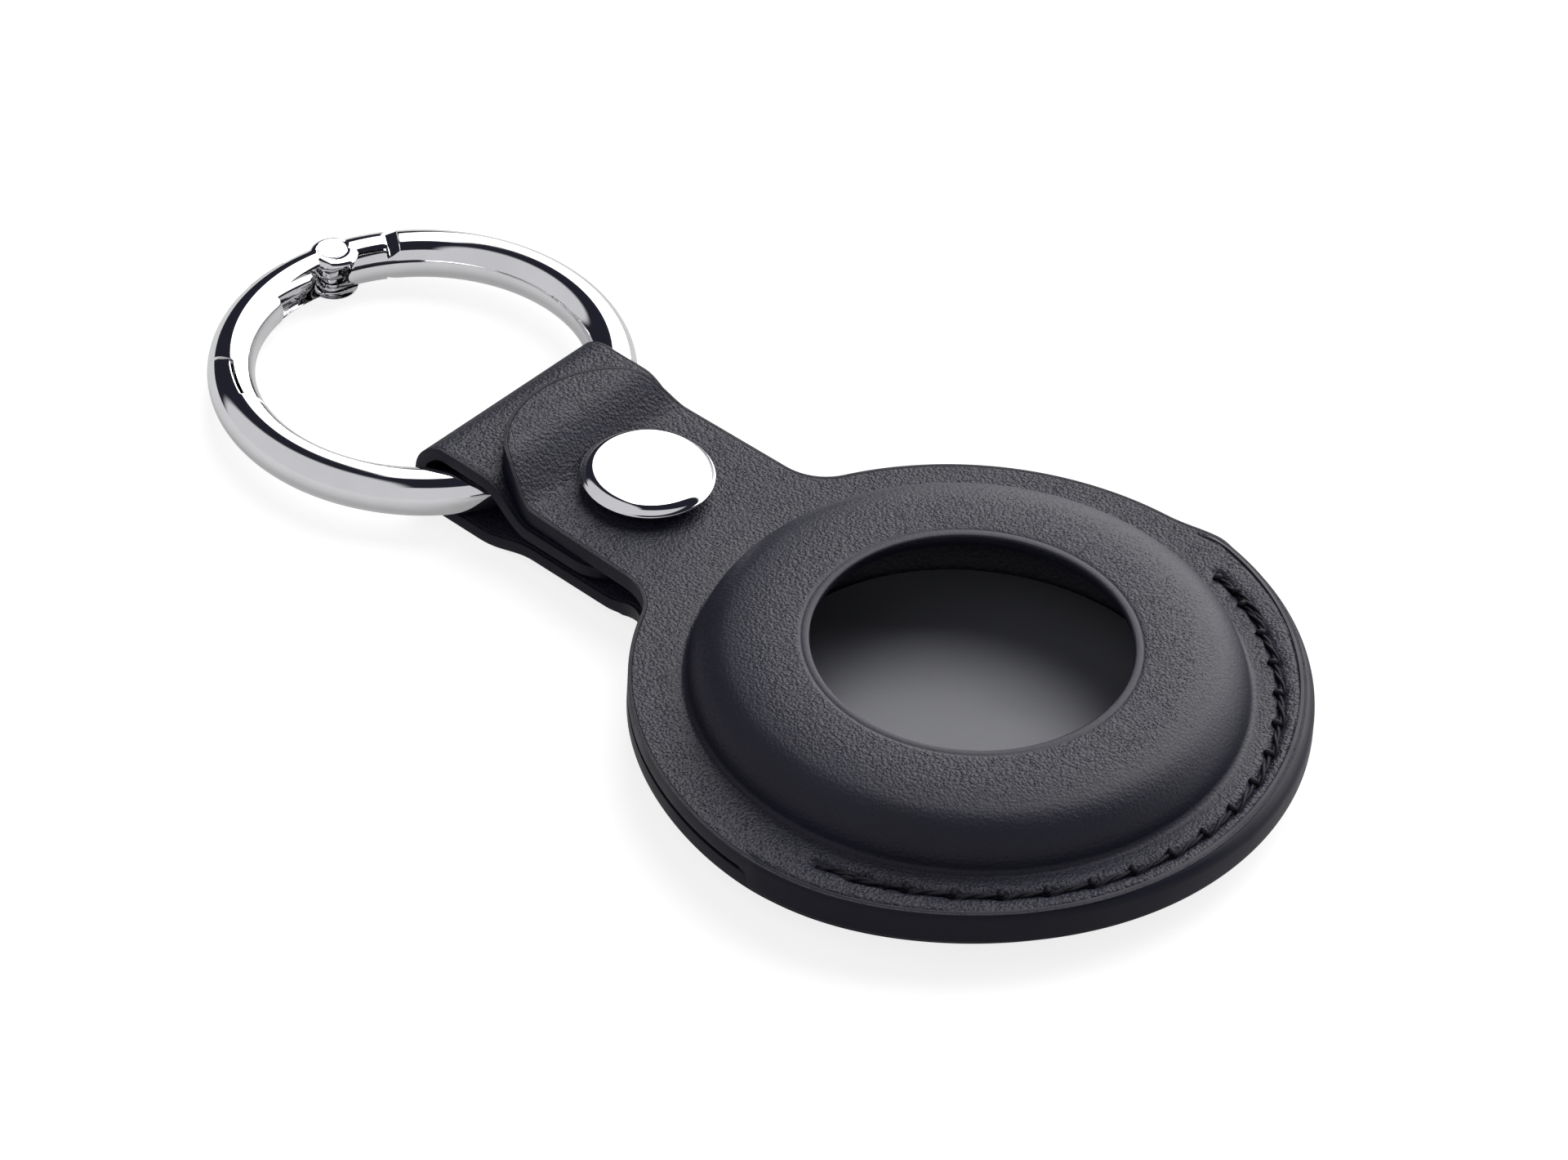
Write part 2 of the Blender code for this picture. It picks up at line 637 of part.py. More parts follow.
def thread_points(level, direction):
    """Path of one thread of the lock stitch along the joined rim.

    Args:
        level: surface that the thread lies on.
        direction: 1 for the upper thread and -1 for the one below.
    """
    span = math.radians(STITCH_SPAN_ANGLE)
    count = max(2, round(2 * span * STITCH_RADIUS / STITCH_PITCH))
    rise_shares = (-1.0, 0.45, 1.0, 0.45)
    slant_shares = (0.0, -1.0, 0.0, 1.0)
    points = []
    for index in range(count * len(rise_shares) + 1):
        phase = index % len(rise_shares)
        angle = -span + 2 * span * index / (count * len(rise_shares))
        radius = STITCH_RADIUS + STITCH_SLANT * slant_shares[phase]
        rise = rise_shares[phase]
        lift = rise * (THREAD_CROWN if rise > 0 else THREAD_DIP)
        points.append((radius * math.cos(angle), radius * math.sin(angle), level + direction * lift))
    return points


def build_stitching(thread, front_panel, back_panel):
    """Upper and lower thread, each in the line that it draws into the leather."""
    half = THREAD_RADIUS + STITCH_SLANT + THREAD_GAP
    depth = THREAD_RADIUS + THREAD_DIP + THREAD_GAP
    margin = (THREAD_RADIUS + THREAD_GAP) / STITCH_RADIUS
    outline = annular_sector(STITCH_RADIUS, half, math.radians(STITCH_SPAN_ANGLE) + margin, 36)
    upper = prism(outline, FRONT_FLANGE_TOP - depth, FRONT_FLANGE_TOP + OVERRUN)
    lower = prism(outline, BACK_BULGE - OVERRUN, BACK_BULGE + depth)
    apply_boolean(front_panel, "DIFFERENCE", add_cutter("upper_stitch_line", upper))
    apply_boolean(back_panel, "DIFFERENCE", add_cutter("lower_stitch_line", lower))
    add_tube("rim_stitching", thread_points(FRONT_FLANGE_TOP, 1.0), THREAD_RADIUS, thread)
    add_tube("rim_stitching_under", thread_points(BACK_BULGE, -1.0), THREAD_RADIUS, thread)


def ring_tube():
    """Whole ring tube with its oval section, centred on the ring."""
    bm = bmesh.new()
    loops = []
    for step in range(RING_STEPS):
        way = polar(1.0, 360 * step / RING_STEPS)
        section = arc_points((0.0, 0.0), 1.0, 0.0, math.tau * (1 - 1 / TUBE_STEPS), TUBE_STEPS - 1)
        loops.append([bm.verts.new((way[0] * (RING_RADIUS + TUBE_HALF_WIDTH * across),
                                    way[1] * (RING_RADIUS + TUBE_HALF_WIDTH * across),
                                    TUBE_HALF_HEIGHT * up)) for across, up in section])
    skin(bm, loops, wrap=True)
    return bm


def swing_point(radius, swing):
    """Point of the ring plane at a radius from its centre and at a distance from the pin."""
    cosine = (RING_RADIUS ** 2 + radius ** 2 - swing ** 2) / (2 * RING_RADIUS * radius)
    return polar(radius, PIN_ANGLE + math.degrees(math.acos(cosine)))


def swing_distance(degrees):
    """Distance from the pin to the ring's middle line at an angle."""
    return 2 * RING_RADIUS * math.sin(math.radians(degrees - PIN_ANGLE) / 2)


def gate_outline(gap, tail_angle):
    """Plan of the gate with its stepped latch, whose faces follow the gate's swing.

    Args:
        gap: distance by which the outline is widened, for the space cut from the body.
        tail_angle: angle where the outline starts, beyond the pin.
    """
    inner = RING_RADIUS - 2 * TUBE_HALF_WIDTH
    outer = RING_RADIUS + 2 * TUBE_HALF_WIDTH
    middle = RING_RADIUS + gap - LATCH_GAP / 2
    shoulder = swing_distance(LATCH_SHOULDER_ANGLE) + gap
    lip = swing_distance(LATCH_LIP_ANGLE) + gap
    steps = 4
    step_face = [swing_point(outer + (middle - outer) * step / steps, shoulder) for step in range(steps + 1)]
    lip_face = [swing_point(middle + (inner - middle) * step / steps, lip) for step in range(steps + 1)]
    outer_end = math.atan2(step_face[0][1], step_face[0][0]) % math.tau
    seam_start = math.atan2(step_face[-1][1], step_face[-1][0]) % math.tau
    seam_end = math.atan2(lip_face[0][1], lip_face[0][0]) % math.tau
    inner_end = math.atan2(lip_face[-1][1], lip_face[-1][0]) % math.tau
    tail = math.radians(tail_angle)
    outer_side = arc_points((0.0, 0.0), outer, tail, outer_end, 16)
    seam = arc_points((0.0, 0.0), middle, seam_start, seam_end, 4)
    inner_side = arc_points((0.0, 0.0), inner, inner_end, tail, 16)
    return outer_side[:-1] + step_face + seam[1:-1] + lip_face + inner_side[1:]


def ring_band(inner, outer, start, end, steps):
    """Plan of a band of the ring between two radii and two angles in degrees."""
    first, last = math.radians(start), math.radians(end)
    return (arc_points((0.0, 0.0), outer, first, last, steps)
            + arc_points((0.0, 0.0), inner, last, first, steps))


def pin_place():
    """Place of the gate pin in the ring's plane."""
    return polar(RING_RADIUS, PIN_ANGLE)


def round_prism(centre, radius, low, high, steps=FINE_STEPS):
    """Cylinder that stands on the ring's plane."""
    points = arc_points(centre, radius, 0.0, math.tau * (1 - 1 / steps), steps - 1)
    return prism(points, low, high)


def build_ring_body(chrome, ring):
    """Open ring with a lip for the gate's latch and a forked tongue for its pin."""
    body = add_object("ring_body", ring_tube(), chrome, ring)
    height = TUBE_HALF_HEIGHT + OVERRUN
    space = prism(gate_outline(LATCH_GAP, BODY_SHOULDER_ANGLE), -height, height)
    apply_boolean(body, "DIFFERENCE", add_cutter("gate_space", space, ring))
    tongue_height = TUBE_HALF_HEIGHT - CHEEK - CHEEK_GAP
    outer = RING_RADIUS + TUBE_HALF_WIDTH - WEB - 2 * CHEEK_GAP
    inner = RING_RADIUS - TONGUE_INNER_OFFSET
    root_angle = BODY_SHOULDER_ANGLE - math.degrees(TUBE_HALF_WIDTH / RING_RADIUS)
    centre = pin_place()
    band = prism(ring_band(inner, outer, root_angle, PIN_ANGLE, 6), -tongue_height, tongue_height)
    eye = round_prism(centre, EAR_RADIUS, -tongue_height - PLAY / 20, tongue_height + PLAY / 20)
    apply_boolean(body, "UNION", add_cutter("tongue", band, ring))
    apply_boolean(body, "UNION", add_cutter("tongue_eye", eye, ring))
    fork = tongue_height - EAR
    apply_boolean(body, "DIFFERENCE", add_cutter("fork_slot", round_prism(centre, FORK_RADIUS, -fork, fork), ring))
    apply_boolean(body, "DIFFERENCE",
                  add_cutter("tongue_bore", round_prism(centre, PIN_RADIUS + PIN_PLAY, -height, height), ring))
    return body


def build_ring_gate(chrome, ring):
    """Gate with a channel for the spring, two cheek lobes at the pin and the stepped latch lip."""
    centre = pin_place()
    gate = add_object("ring_gate", ring_tube(), chrome, ring, origin=centre)
    height = TUBE_HALF_HEIGHT + OVERRUN
    plan = prism(gate_outline(0.0, TAIL_ANGLE), -height, height)
    apply_boolean(gate, "INTERSECT", add_cutter("gate_plan", plan, ring))
    lobe_centre = polar(RING_RADIUS - LOBE_INSET, PIN_ANGLE)
    lobe_height = TUBE_HALF_HEIGHT - PLAY / 4
    apply_boolean(gate, "UNION",
                  add_cutter("cheek_lobes", round_prism(lobe_centre, LOBE_RADIUS, -lobe_height, lobe_height,
                                                        FINE_STEPS + 8), ring))
    channel_height = TUBE_HALF_HEIGHT - CHEEK
    channel = ring_band(RING_RADIUS - 3 * TUBE_HALF_WIDTH, RING_RADIUS + TUBE_HALF_WIDTH - WEB,
                        TAIL_ANGLE - math.degrees(WEB / RING_RADIUS), CHANNEL_END_ANGLE, 12)
    apply_boolean(gate, "DIFFERENCE",
                  add_cutter("gate_channel", prism(channel, -channel_height, channel_height), ring))
    apply_boolean(gate, "DIFFERENCE",
                  add_cutter("cheek_bores", round_prism(centre, PIN_RADIUS + PIN_PLAY, -height, height), ring))
    return gate


def build_gate_pin(chrome, ring):
    """Rivet pin with a flat head on each cheek."""
    seat = TUBE_HALF_HEIGHT + PIN_PLAY
    end = seat + PIN_HEAD
    edge = PIN_HEAD_RADIUS - PIN_HEAD / 2
    profile = [(0.0, -end), (edge, -end), (PIN_HEAD_RADIUS, -end + PIN_HEAD / 2), (PIN_HEAD_RADIUS, -seat),
               (PIN_RADIUS, -seat), (PIN_RADIUS, seat), (PIN_HEAD_RADIUS, seat),
               (PIN_HEAD_RADIUS, end - PIN_HEAD / 2), (edge, end), (0.0, end)]
    pin = add_object("gate_pin", lathe(profile, FINE_STEPS, closed=False), chrome, ring)
    pin.location = (*pin_place(), 0.0)
    return pin


def coil_points():
    """Path of the torsion spring round the pin: a leg on the tongue, the coil and a leg in the gate."""
    centre = pin_place()
    outward = math.radians(PIN_ANGLE)
    fork = TUBE_HALF_HEIGHT - CHEEK - CHEEK_GAP - EAR
    half = fork - COIL_WIRE_RADIUS - CHEEK_GAP / 2
    per_turn = 9
    count = round(COIL_TURNS * per_turn)
    tongue_leg = RING_RADIUS - COIL_RADIUS - COIL_WIRE_RADIUS
    gate_leg = RING_RADIUS + COIL_RADIUS - COIL_WIRE_RADIUS / 2
    steps = 3
    points = []
    for step in range(steps):
        x, y = polar(tongue_leg, PIN_ANGLE - COIL_LEG_ANGLE * (1 - step / steps))
        points.append((x, y, -half))
    for index in range(count + 1):
        share = index / count
        angle = outward + math.pi + math.tau * COIL_TURNS * share
        x, y = arc_points(centre, COIL_RADIUS, angle, angle, 1)[0]
        points.append((x, y, -half + 2 * half * share))
    for step in range(1, steps + 1):
        x, y = polar(gate_leg, PIN_ANGLE + COIL_LEG_ANGLE * step / steps)
        points.append((x, y, half))
    return points


def least_gap(points, radius, apart):
    """Least gap between parts of a tube that are more than a length of path apart."""
    walked = [0.0]
    for first, second in zip(points, points[1:]):
        walked.append(walked[-1] + (Vector(second) - Vector(first)).length)
    least = math.inf
    for low, first in enumerate(points):
        for high in range(low + 1, len(points)):
            if walked[high] - walked[low] > apart:
                least = min(least, (Vector(points[high]) - Vector(first)).length)
    return least - 2 * radius


def build_gate_spring(steel, ring):
    """Torsion spring that closes the gate."""
    points = coil_points()
    gap = least_gap(points, COIL_WIRE_RADIUS, math.pi * COIL_RADIUS)
    print(f"gate spring: least gap to itself {gap * 1000:.3f} mm")
    return add_tube("gate_spring", points, COIL_WIRE_RADIUS, steel, ring)


def build_ring(chrome, steel):
    """Ring, gate, pin and spring in the ring's own tilted plane."""
    rest = TUBE_HALF_HEIGHT + PIN_PLAY + PIN_HEAD + FLOOR_GAP
    tilt = math.asin((RING_SEAT_Z - rest) / (2 * RING_RADIUS))
    centre = (-LOOP_REACH - RING_RADIUS * math.cos(tilt), 0.0, RING_SEAT_Z - RING_RADIUS * math.sin(tilt))
    axis = (-LOOP_REACH - SWING_AXIS_FROM_SEAT, 0.0, RING_SEAT_Z)
    swing = add_empty("ring_swing_axis", axis, 0.0)
    ring = add_empty("ring_plane", [place - start for place, start in zip(centre, axis)], -tilt)
    ring.parent = swing
    build_ring_body(chrome, ring)
    build_ring_gate(chrome, ring)
    build_gate_pin(chrome, ring)
    build_gate_spring(steel, ring)


def main():
    """Build the whole holder."""
    clear_scene()
    leather = make_material("leather", (0.035, 0.036, 0.040), 0.55, 0.0)
    lining_cloth = make_material("lining", (0.060, 0.061, 0.064), 0.45, 0.0)
    thread = make_material("thread", (0.008, 0.009, 0.016), 0.80, 0.0)
    chrome = make_material("chrome", (0.83, 0.83, 0.84), 0.05, 1.0)
    steel = make_material("steel", (0.55, 0.55, 0.56), 0.25, 1.0)
    tab_hinge = add_empty("tab_hinge", (HINGE_X, 0.0, FRONT_FLANGE_TOP), 0.0)
    snap_seat = add_empty("snap_seat", (HINGE_X, 0.0, FRONT_FLANGE_TOP), 0.0)
    front_panel = build_front_panel(leather)
    back_panel = build_back_panel(leather)
    build_lining(lining_cloth)
    tab = build_tab(leather, tab_hinge)
    build_snap(chrome, steel, tab, back_panel, tab_hinge, snap_seat)
    build_stitching(thread, front_panel, back_panel)
    build_ring(chrome, steel)


main()
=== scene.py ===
"""Looks of the tag holder: moulded leather pocket, snapped strap and spring-gate ring.

Every length is in metres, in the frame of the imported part: the pocket lies on its back at the origin, the strap
runs towards -X and +Z is up.
"""

import logging
import math
from dataclasses import dataclass
from enum import Enum
from typing import Callable, Sequence, Union

import bmesh
import bpy
from mathutils import Matrix, Vector
from mathutils.kdtree import KDTree


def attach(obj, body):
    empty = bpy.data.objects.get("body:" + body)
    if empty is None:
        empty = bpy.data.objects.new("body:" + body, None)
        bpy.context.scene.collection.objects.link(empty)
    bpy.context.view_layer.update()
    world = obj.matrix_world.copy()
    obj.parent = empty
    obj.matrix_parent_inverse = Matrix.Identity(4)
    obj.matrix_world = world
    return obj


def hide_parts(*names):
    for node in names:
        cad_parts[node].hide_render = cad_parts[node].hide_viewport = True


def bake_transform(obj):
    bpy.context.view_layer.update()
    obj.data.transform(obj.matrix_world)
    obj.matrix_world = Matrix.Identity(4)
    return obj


Point = tuple[float, float, float]
Flat = tuple[float, float]
Colour = tuple[float, float, float]
Film = tuple[float, float, float, float]
Feed = Union[float, tuple[float, ...], bpy.types.NodeSocket]

LOG = logging.getLogger("tag_holder")

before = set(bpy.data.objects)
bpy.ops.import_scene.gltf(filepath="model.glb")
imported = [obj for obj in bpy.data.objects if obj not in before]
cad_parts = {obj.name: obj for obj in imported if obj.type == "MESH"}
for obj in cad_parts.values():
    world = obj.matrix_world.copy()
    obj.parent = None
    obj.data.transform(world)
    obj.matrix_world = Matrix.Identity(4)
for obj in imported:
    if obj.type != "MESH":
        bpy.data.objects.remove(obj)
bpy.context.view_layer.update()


class Body(Enum):
    """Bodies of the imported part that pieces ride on."""

    POCKET = "pocket"
    TAB = "tab"
    RING = "ring"
    GATE = "gate"


class Slot(Enum):
    """Material slots of the record."""

    LEATHER = "leather"
    LINING = "lining"
    THREAD = "thread"
    CHROME = "chrome"
    STEEL = "steel"


@dataclass(frozen=True)
class HolderSizes:
    """Sizes that more than one piece shares."""

    leather: float = 0.0010
    strap_leather: float = 0.0008
    rim_gap: float = 0.0003
    disc_radius: float = 0.0206
    window_radius: float = 0.0098
    dome_radius: float = 0.0168
    dome_rise: float = 0.0033
    lip_rise: float = 0.00015
    back_bulge: float = 0.0020
    bulge_radius: float = 0.0172
    floor_radius: float = 0.0143
    neck_fillet: float = 0.0035
    strap_width: float = 0.0148
    tab_width: float = 0.0146
    tab_end_width: float = 0.0142
    hinge_x: float = -0.0212
    snap_x: float = -0.0264
    flap_rise_from_hinge: float = 0.00833
    flap_rise_length: float = 0.0039
    loop_reach: float = 0.03343
    stitch_radius: float = 0.0189
    stitch_span: float = math.radians(77.0)
    stitch_pitch: float = 0.0028
    rim_span: float = math.radians(89.0)
    rim_tuck: float = 0.0005
    ring_radius: float = 0.01195
    tube_radius: float = 0.0015
    ring_seat_gap: float = 0.00020
    ring_top_gap: float = 0.00025
    ring_fold_gap: float = 0.00020
    tab_gap: float = 0.00025

    @property
    def back_top(self) -> float:
        """Top of the back leather's rim."""
        return self.back_bulge + self.leather

    @property
    def flange_low(self) -> float:
        """Underside of the front leather's rim."""
        return self.back_top + self.rim_gap

    @property
    def flange_top(self) -> float:
        """Top of the front leather's rim."""
        return self.flange_low + self.leather

    @property
    def ring_seat_z(self) -> float:
        """Level of the ring's middle inside the loop."""
        return self.strap_leather + self.ring_seat_gap + self.tube_radius

    @property
    def crest_z(self) -> float:
        """Level of the middle of the leather over the ring."""
        return self.ring_seat_z + self.tube_radius + self.ring_top_gap + self.strap_leather / 2

    @property
    def flap_z(self) -> float:
        """Level of the middle of the flap under the tab."""
        return self.flange_low - self.tab_gap - self.strap_leather / 2

    @property
    def tab_rise(self) -> float:
        """Height by which the tab's end climbs over the ring."""
        return self.crest_z - self.flap_z


SIZES = HolderSizes()


def ease(share: float) -> float:
    """Share of a smooth step, level at both ends."""
    return (1 - math.cos(math.pi * min(1.0, max(0.0, share)))) / 2


def ease_slope(share: float, height: float, length: float) -> float:
    """Slope of a smooth step of a height over a length."""
    return height / length * math.pi * math.sin(math.pi * min(1.0, max(0.0, share))) / 2


def bell(distance: float, width: float) -> float:
    """Bell curve with the value 1 at no distance."""
    return math.exp(-((distance / width) ** 2))


def arc(centre: Flat, radius: float, start: float, end: float, steps: int) -> list[Flat]:
    """Points on an arc between two angles in radians, both ends included."""
    angles = [start + (end - start) * step / steps for step in range(steps + 1)]
    return [(centre[0] + radius * math.cos(a), centre[1] + radius * math.sin(a)) for a in angles]


def polar(radius: float, degrees: float) -> Flat:
    """Point at a radius and an angle."""
    return radius * math.cos(math.radians(degrees)), radius * math.sin(math.radians(degrees))


def choose_only(item: bpy.types.Object) -> bpy.types.Object:
    """Make one object the only selected one and the active one.

    Args:
        item: the object to choose.

    Returns:
        The same object.
    """
    bpy.ops.object.select_all(action="DESELECT")
    item.select_set(True)
    bpy.context.view_layer.objects.active = item
    return item


def apply_modifiers(item: bpy.types.Object) -> None:
    """Apply every modifier of an object in order.

    Args:
        item: the object.
    """
    choose_only(item)
    for modifier in list(item.modifiers):
        bpy.ops.object.modifier_apply(modifier=modifier.name)


def shade(item: bpy.types.Object, degrees: float) -> None:
    """Shade smooth, with edges sharper than an angle left crisp."""
    choose_only(item)
    bpy.ops.object.shade_smooth_by_angle(angle=math.radians(degrees))


def clean_mesh(item: bpy.types.Object, merge: float = 1e-7) -> None:
    """Merge doubles and turn all faces outwards.

    Args:
        item: the object.
        merge: corners nearer to each other than this become one.
    """
    choose_only(item)
    bpy.ops.object.mode_set(mode="EDIT")
    bpy.ops.mesh.select_all(action="SELECT")
    bpy.ops.mesh.remove_doubles(threshold=merge)
    bpy.ops.mesh.normals_make_consistent(inside=False)
    bpy.ops.object.mode_set(mode="OBJECT")


class Growth:
    """A surface that is grown in edit mode from one loop by extruding its edge."""

    def __init__(self, name: str, start: Sequence[Point]) -> None:
        """Add a circle and put its corners on the first loop.

        Args:
            name: name of the new object.
            start: the loop's points in order.
        """
        bpy.ops.object.select_all(action="DESELECT")
        bpy.ops.mesh.primitive_circle_add(vertices=len(start), radius=SIZES.leather, fill_type="NOTHING")
        self.item = bpy.context.object
        self.item.name = name
        self.item.data.name = name
        bpy.ops.object.mode_set(mode="EDIT")
        mesh = bmesh.from_edit_mesh(self.item.data)
        mesh.verts.layers.int.new("place")
        place = mesh.verts.layers.int["place"]
        for index, vert in enumerate(mesh.verts):
            vert[place] = index
            vert.co = start[index]
            vert.select = True
        mesh.select_flush(True)
        bmesh.update_edit_mesh(self.item.data)

    def grow(self, points: Sequence[Point] | dict[int, Point]) -> None:
        """Extrude the selected edges and put the new corners on these points.

        Args:
            points: new place of each corner, by its place on the first loop.
        """
        bpy.ops.mesh.extrude_edges_move(TRANSFORM_OT_translate={"value": (0.0, 0.0, 0.0)})
        mesh = bmesh.from_edit_mesh(self.item.data)
        place = mesh.verts.layers.int["place"]
        for vert in mesh.verts:
            if vert.select:
                vert.co = points[vert[place]]
        bmesh.update_edit_mesh(self.item.data)

    def fill(self) -> None:
        """Close the selected loop with one face."""
        bpy.ops.mesh.edge_face_add()

    def keep(self, wanted: Callable[[int], bool]) -> None:
        """Keep selected only the edge between corners whose place is wanted.

        Args:
            wanted: tells whether a corner's place on the first loop is wanted.
        """
        mesh = bmesh.from_edit_mesh(self.item.data)
        place = mesh.verts.layers.int["place"]
        chosen = [e for e in mesh.edges if e.select and all(wanted(v[place]) for v in e.verts)]
        bpy.ops.mesh.select_all(action="DESELECT")
        for edge in chosen:
            edge.select_set(True)
        bmesh.update_edit_mesh(self.item.data)

    def finish(self) -> bpy.types.Object:
        """Leave edit mode and give the object.

        Returns:
            The finished object.
        """
        bpy.ops.object.mode_set(mode="OBJECT")
        clean_mesh(self.item)
        return self.item


def mark_edges(item: bpy.types.Object, inner: float) -> None:
    """Store each corner's distance from the sheet's cut edge, for the border that the edge paint covers.

    Args:
        item: the sheet before it gets its thickness.
        inner: edges nearer to the axis than this aren't counted.
    """
    mesh = bmesh.new()
    mesh.from_mesh(item.data)
    samples = []
    for edge in mesh.edges:
        first, last = (vert.co for vert in edge.verts)
        if edge.is_boundary and math.hypot(first.x, first.y) > inner:
            samples += [first.lerp(last, step / 4) for step in range(4)]
    tree = KDTree(len(samples))
    for index, point in enumerate(samples):
        tree.insert(point, index)
    tree.balance()
    distances = [tree.find(vert.co)[2] for vert in mesh.verts]
    mesh.free()
    item.data.attributes.new("edge_distance", "FLOAT", "POINT").data.foreach_set("value", distances)


def face_up(item: bpy.types.Object, wanted: Callable[[bpy.types.MeshPolygon], bool]) -> None:
    """Turn a sheet over if the face that is wanted points the wrong way.

    Args:
        item: the sheet.
        wanted: tells whether a face is one that has to point up.
    """
    face = next(f for f in item.data.polygons if wanted(f))
    if face.normal.z < 0:
        choose_only(item)
        bpy.ops.object.mode_set(mode="EDIT")
        bpy.ops.mesh.select_all(action="SELECT")
        bpy.ops.mesh.flip_normals()
        bpy.ops.object.mode_set(mode="OBJECT")


def grown(name: str, loops: Sequence[Sequence[Point]]) -> bpy.types.Object:
    """Closed skin through loops of points.

    Args:
        name: name of the new object.
        loops: the loops in order, each with as many points; the first and last ones are filled.

    Returns:
        The finished object.
    """
    growth = Growth(name, loops[0])
    growth.fill()
    for loop in loops[1:]:
        growth.grow(loop)
    growth.fill()
    return growth.finish()


def turned(name: str, profile: Sequence[Flat], steps: int, centre: Flat = (0.0, 0.0)) -> bpy.types.Object:
    """Turned solid about a vertical axis, grown loop by loop along its profile.

    Args:
        name: name of the new object.
        profile: radius and height of each loop; the first and last loops are filled.
        steps: corners of each loop.
        centre: place of the axis.

    Returns:
        The finished object.
    """
    loops = [[(centre[0] + radius * math.cos(math.tau * k / steps),
               centre[1] + radius * math.sin(math.tau * k / steps), height) for k in range(steps)]
             for radius, height in profile]
    return grown(name, loops)


def joined(parts: Sequence[bpy.types.Object]) -> bpy.types.Object:
    """Objects joined into the first one.

    Args:
        parts: the objects; only the first one stays.

    Returns:
        The first object.
    """
    choose_only(parts[0])
    for part in parts[1:]:
        part.select_set(True)
    bpy.ops.object.join()
    return parts[0]


def thicken(item: bpy.types.Object, thickness: float, group: str = "") -> None:
    """Give a sheet its thickness below the side that was grown, with the second material on its cut edge.

    Args:
        item: the sheet.
        thickness: its full thickness.
        group: vertex group that thins it.
    """
    solid = item.modifiers.new("thickness", "SOLIDIFY")
    solid.thickness = thickness
    solid.vertex_group = group
    solid.offset = -1.0
    solid.use_even_offset = True
    solid.material_offset_rim = 1


def bevel_edges(item: bpy.types.Object, width: float, segments: int, degrees: float, material: int = -1) -> None:
    """Round the sharp edges and apply every modifier so far.

    Args:
        item: the object.
        width: width of the bevel.
        segments: faces across the bevel.
        degrees: least angle of an edge that gets one.
        material: material of the bevel, or -1 for its neighbour's.
    """
    edge = item.modifiers.new("edge_round", "BEVEL")
    edge.width = width
    edge.segments = segments
    edge.limit_method = "ANGLE"
    edge.angle_limit = math.radians(degrees)
    edge.material = material
    apply_modifiers(item)


def prism(name: str, points: Sequence[Flat], low: float, high: float) -> bpy.types.Object:
    """Plan outline extruded from a low to a high level.

    Args:
        name: name of the new object.
        points: the outline in order.
        low: level of the lower face.
        high: level of the upper face.

    Returns:
        The finished object.
    """
    growth = Growth(name, [(x, y, low) for x, y in points])
    growth.fill()
    bpy.ops.mesh.extrude_region_move(TRANSFORM_OT_translate={"value": (0.0, 0.0, high - low)})
    return growth.finish()


def carve(item: bpy.types.Object, tool: bpy.types.Object, operation: str = "DIFFERENCE") -> None:
    """Boolean of an object with a helper solid, which is removed afterwards.

    Args:
        item: the object that is cut or joined.
        tool: the helper solid.
        operation: Blender's name of the boolean.
    """
    modifier = item.modifiers.new(tool.name, "BOOLEAN")
    modifier.operation = operation
    modifier.solver = "EXACT"
    modifier.object = tool
    apply_modifiers(item)
    bpy.data.objects.remove(tool, do_unlink=True)


